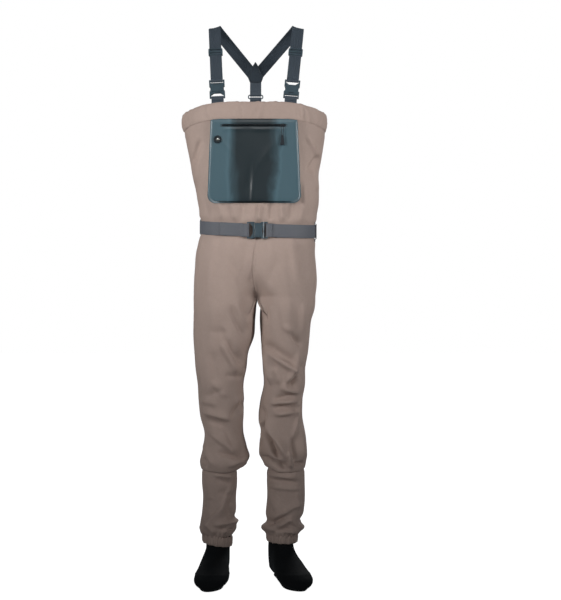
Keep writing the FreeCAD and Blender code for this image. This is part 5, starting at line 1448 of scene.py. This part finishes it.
def pocket_relief(x, z):
    """The film's bulge and creases, as a distance forwards."""
    half = pocket_half(z)
    edge = np.minimum(half - np.abs(x), np.minimum(z - POCKET_BOTTOM, POCKET_TOP - z))
    puff = -0.00022 * x**2 - 0.8 * smooth(10, 0, edge)
    rim = 0.3 * smooth(9.0, 6.0, edge)
    below = 0.7 * bell(z, ZIP_LEVEL - 11, 5) * smooth(94, 80, np.abs(x)) * (1 + 0.5 * np.sin(x / 13))
    crease = 1.3 * bell(x + 4 - 0.06 * (z - 1090), 0, 5) * bell(z, 1100, 46)
    crease -= 1.4 * bell(x + 15 - 0.03 * (z - 1090), 0, 8) * bell(z, 1104, 48)
    ripples = 0.5 * np.sin(x / 21 + 1.2 * np.sin(z / 61)) * smooth(12, 40, edge) * smooth(1250, 1180, z)
    ripples += bell(x + 0.9 * (z - 1210), -74, 9) * bell(z, 1215, 30)
    ripples += 0.8 * bell(x - 0.7 * (z - 1200), 40, 11) * bell(z, 1195, 45)
    return puff + rim + crease + ripples * 0.8 + below


def make_pocket():
    rows = np.unique(np.concatenate([
        POCKET_BOTTOM + CORNER * (1 - np.cos(np.linspace(0, math.pi / 2, 14))),
        np.linspace(POCKET_BOTTOM + CORNER, 1262, 64), np.linspace(1262, ZIP_LEVEL - 3.5, 5),
        np.linspace(ZIP_LEVEL + 3.5, POCKET_TOP - TOP_CORNER, 6), [1283.5, 1285, 1285.7, POCKET_TOP],
    ]))
    slot_u = 88.0 / pocket_half(ZIP_LEVEL)
    columns = np.unique(np.round(np.concatenate([
        np.linspace(-1, -slot_u, 16), np.linspace(-slot_u, slot_u, 84), np.linspace(slot_u, 1, 16),
    ]), 6))
    z, u = np.meshgrid(rows, columns, indexing="ij")
    x = u * pocket_half(z)
    grid = np.stack([x, POCKET_Y - pocket_relief(x, z), z], -1)
    faces = grid_faces(len(rows), len(columns), False).reshape(len(rows) - 1, len(columns) - 1, 4)
    in_slot = (np.abs((rows[:-1] + rows[1:]) / 2 - ZIP_LEVEL) < 3.4)[:, None] & (
        np.abs((columns[:-1] + columns[1:]) / 2) < slot_u)[None, :]
    uv = grid_uv(grid, False).reshape(len(rows) - 1, len(columns) - 1, 4, 2)
    points = grid.reshape(-1, 3)
    faces, uv = faces[~in_slot], uv[~in_slot]
    # the walls that go back to the bib
    ids = np.arange(len(rows) * len(columns)).reshape(len(rows), len(columns))
    border = np.concatenate([ids[0], ids[1:, -1], ids[-1, -2::-1], ids[-2:0:-1, 0]])
    rim = points[border]
    root_y = front_of_torso(rim[:, 0], np.maximum(rim[:, 2], POCKET_BOTTOM), 1.9)
    levels = [0.03, 0.12, 0.5, 1.0]
    walls = []
    centre = np.array([0, 0, float(POCKET_MIDDLE)])
    for level in levels:
        ring = rim.copy()
        ring[:, 1] = rim[:, 1] * (1 - level) + np.maximum(root_y, rim[:, 1] + 0.5) * level
        away = ring - centre
        away[:, 1] = 0
        ring -= unit(away) * 1.6 * level
        walls.append(ring)
    count = len(border)
    first = len(points)
    points = np.vstack([points] + walls)
    ring_ids = [border] + [first + k * count + np.arange(count) for k in range(len(levels))]
    wall_faces = []
    for a, b in zip(ring_ids, ring_ids[1:]):
        wall_faces.append(np.stack([a, b, np.roll(b, -1), np.roll(a, -1)], 1))
    wall_faces = np.vstack(wall_faces)
    uv = np.concatenate([uv.reshape(-1, 2), points[wall_faces.ravel()][:, [0, 2]]])
    piece = make_object("pocket_film", points, [tuple(f) for f in faces] + [tuple(f) for f in wall_faces], uv)
    thicken(piece, 1.2)
    dress(piece, "pocket_skin", nodes=["pocket_front"])

    # the backing sheet, welded to the bib round the pocket
    margin = 4
    corner = POCKET_BOTTOM - margin + CORNER * (1 - np.cos(np.linspace(0, math.pi / 2, 10)))
    z, u = np.meshgrid(
        np.concatenate([corner, np.linspace(1090, 1289.5, 40)]), np.linspace(-1, 1, 70), indexing="ij",
    )
    inwards = np.where(z < POCKET_MIDDLE, margin, -margin)
    x = u * (pocket_half(np.clip(z + inwards, POCKET_BOTTOM, POCKET_TOP)) + margin)
    grid = np.stack([x, front_of_torso(x, z, 1.5), z], -1)
    backing = grid_object("pocket_backing", grid)
    thicken(backing, 1.0)
    dress(backing, "pocket_skin", nodes=["pocket_back"])


def make_zip():
    """Two waterproof tapes with the coil's loops along their facing edges."""
    points, faces = [], []
    for sign in (-1, 1):
        rows = []
        for depth, height in ((-87.0, 0.9), (-87.75, 0.9), (-87.95, 1.7), (-87.7, 4.0), (-87.7, 10.9), (-87.0, 10.9)):
            rows.append([(x, depth, ZIP_LEVEL + sign * height) for x in np.linspace(-92, 92, 47)])
        block = grid_faces(len(rows), 47, False, len(points))
        for row in rows:
            points += row
        faces += [tuple(f) if sign < 0 else tuple(f[::-1]) for f in block]
    dress(make_object("zip_tape_pair", points, faces), "zip_tape", nodes=["zip_tapes"])

    points, faces = [], []
    around = np.linspace(0, 2 * math.pi, 7, endpoint=False)
    for sign in (-1, 1):
        turns = 84
        t = np.linspace(0, turns, turns * 9)
        turn = t * 2 * math.pi
        line = np.stack([
            -84 + 168 * t / turns, -88.7 + 0.62 * np.cos(turn), ZIP_LEVEL + sign * (2.1 + 0.75 * np.sin(turn)),
        ], 1)
        tangent = unit(np.gradient(line, axis=0))
        side = unit(np.cross(tangent, UP))
        other = np.cross(tangent, side)
        across, over = np.cos(around)[None, :, None], np.sin(around)[None, :, None]
        tube = line[:, None] + 0.27 * (side[:, None] * across + other[:, None] * over)
        faces += [tuple(f) for f in grid_faces(len(line), 7, True, len(points))]
        points += list(tube.reshape(-1, 3))
    dress(make_object("zip_coil_pair", points, faces), "zip_coil", nodes=["zip_coils"])


make_pocket()
make_zip()


# ---------------------------------------------------------------- what keeps the CAD model's own shape

KEPT_BODY = {
    "zip_pull_grip": "pull_grip", "zip_slider": "zip_metal", "zip_stops": "zip_metal", "rear_ring": "ring_plastic",
    "pocket_stud_ring": "stud_ring", "pocket_stud_cap": "stud_cap",
    "strap_slider_left": "buckle_plastic", "strap_slider_right": "buckle_plastic",
}


def finish_kept_nodes():
    for name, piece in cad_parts.items():
        slot = KEPT_BODY.get(name) or ("buckle_plastic" if "buckle_" in name else None)
        if slot:
            for holder in piece.material_slots:
                holder.material = MATERIALS[slot]
            if not piece.material_slots:
                piece.data.materials.append(MATERIALS[slot])


finish_kept_nodes()

pull_cord.data.materials.append(MATERIALS["pull_cord"])
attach(pull_cord, "zip_pull")
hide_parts("zip_pull_cord")


# ---------------------------------------------------------------- studio

def add_area(name, location, target, size, power_watts, spread=180):
    data = bpy.data.lights.new(name, "AREA")
    data.shape = "RECTANGLE"
    data.size, data.size_y = size
    data.energy = power_watts
    data.spread = math.radians(spread)
    lamp = bpy.data.objects.new(name, data)
    lamp.location = location
    lamp.rotation_euler = (Vector(target) - Vector(location)).to_track_quat("-Z", "Y").to_euler()
    bpy.context.scene.collection.objects.link(lamp)


def add_studio():
    add_area("key_left", (-2.3, -1.9, 1.5), (0, 0, 1.2), (0.8, 1.1), 4.6, spread=38)
    add_area("key_right", (2.3, -1.7, 1.5), (0, 0, 1.2), (0.7, 1.1), 3.6, spread=38)
    add_area("front", (0.0, -3.4, 2.5), (0, 0, 1.05), (1.2, 0.8), 0.7, spread=48)
    add_area("back", (0.3, 2.6, 2.0), (0, 0, 0.9), (2.2, 1.8), 26)
    world = bpy.data.worlds.new("studio")
    bpy.context.scene.world = world
    world.use_nodes = True
    tree = world.node_tree
    back = tree.nodes["Background"]
    back.inputs["Color"].default_value = (0.9, 0.94, 1.0, 1)
    back.inputs["Strength"].default_value = 0.15
    white = node(tree, "ShaderNodeBackground", in_Strength=1.0)
    white.inputs["Color"].default_value = (1, 1, 1, 1)
    chosen = node(tree, "ShaderNodeMixShader")
    tree.links.new(node(tree, "ShaderNodeLightPath").outputs["Is Camera Ray"], chosen.inputs[0])
    tree.links.new(back.outputs[0], chosen.inputs[1])
    tree.links.new(white.outputs[0], chosen.inputs[2])
    tree.links.new(chosen.outputs[0], tree.nodes["World Output"].inputs["Surface"])

    size = 30.0
    bpy.ops.mesh.primitive_plane_add(size=size)
    floor = bpy.context.object
    floor.name = "floor"
    material = bpy.data.materials.new("floor")
    material.use_nodes = True
    tree = material.node_tree
    shader = tree.nodes["Principled BSDF"]
    shader.inputs["Base Color"].default_value = (0.4, 0.4, 0.4, 1)
    shader.inputs["Roughness"].default_value = 0.9
    shader.inputs["Specular IOR Level"].default_value = 0.0
    shader.inputs["Emission Color"].default_value = (1, 1, 1, 1)
    shader.inputs["Emission Strength"].default_value = 1.0
    floor.data.materials.append(material)
    floor.visible_diffuse = False
    floor.visible_glossy = False
    view = bpy.context.scene.view_settings
    view.view_transform = "Standard"
    view.look = "None"


add_studio()
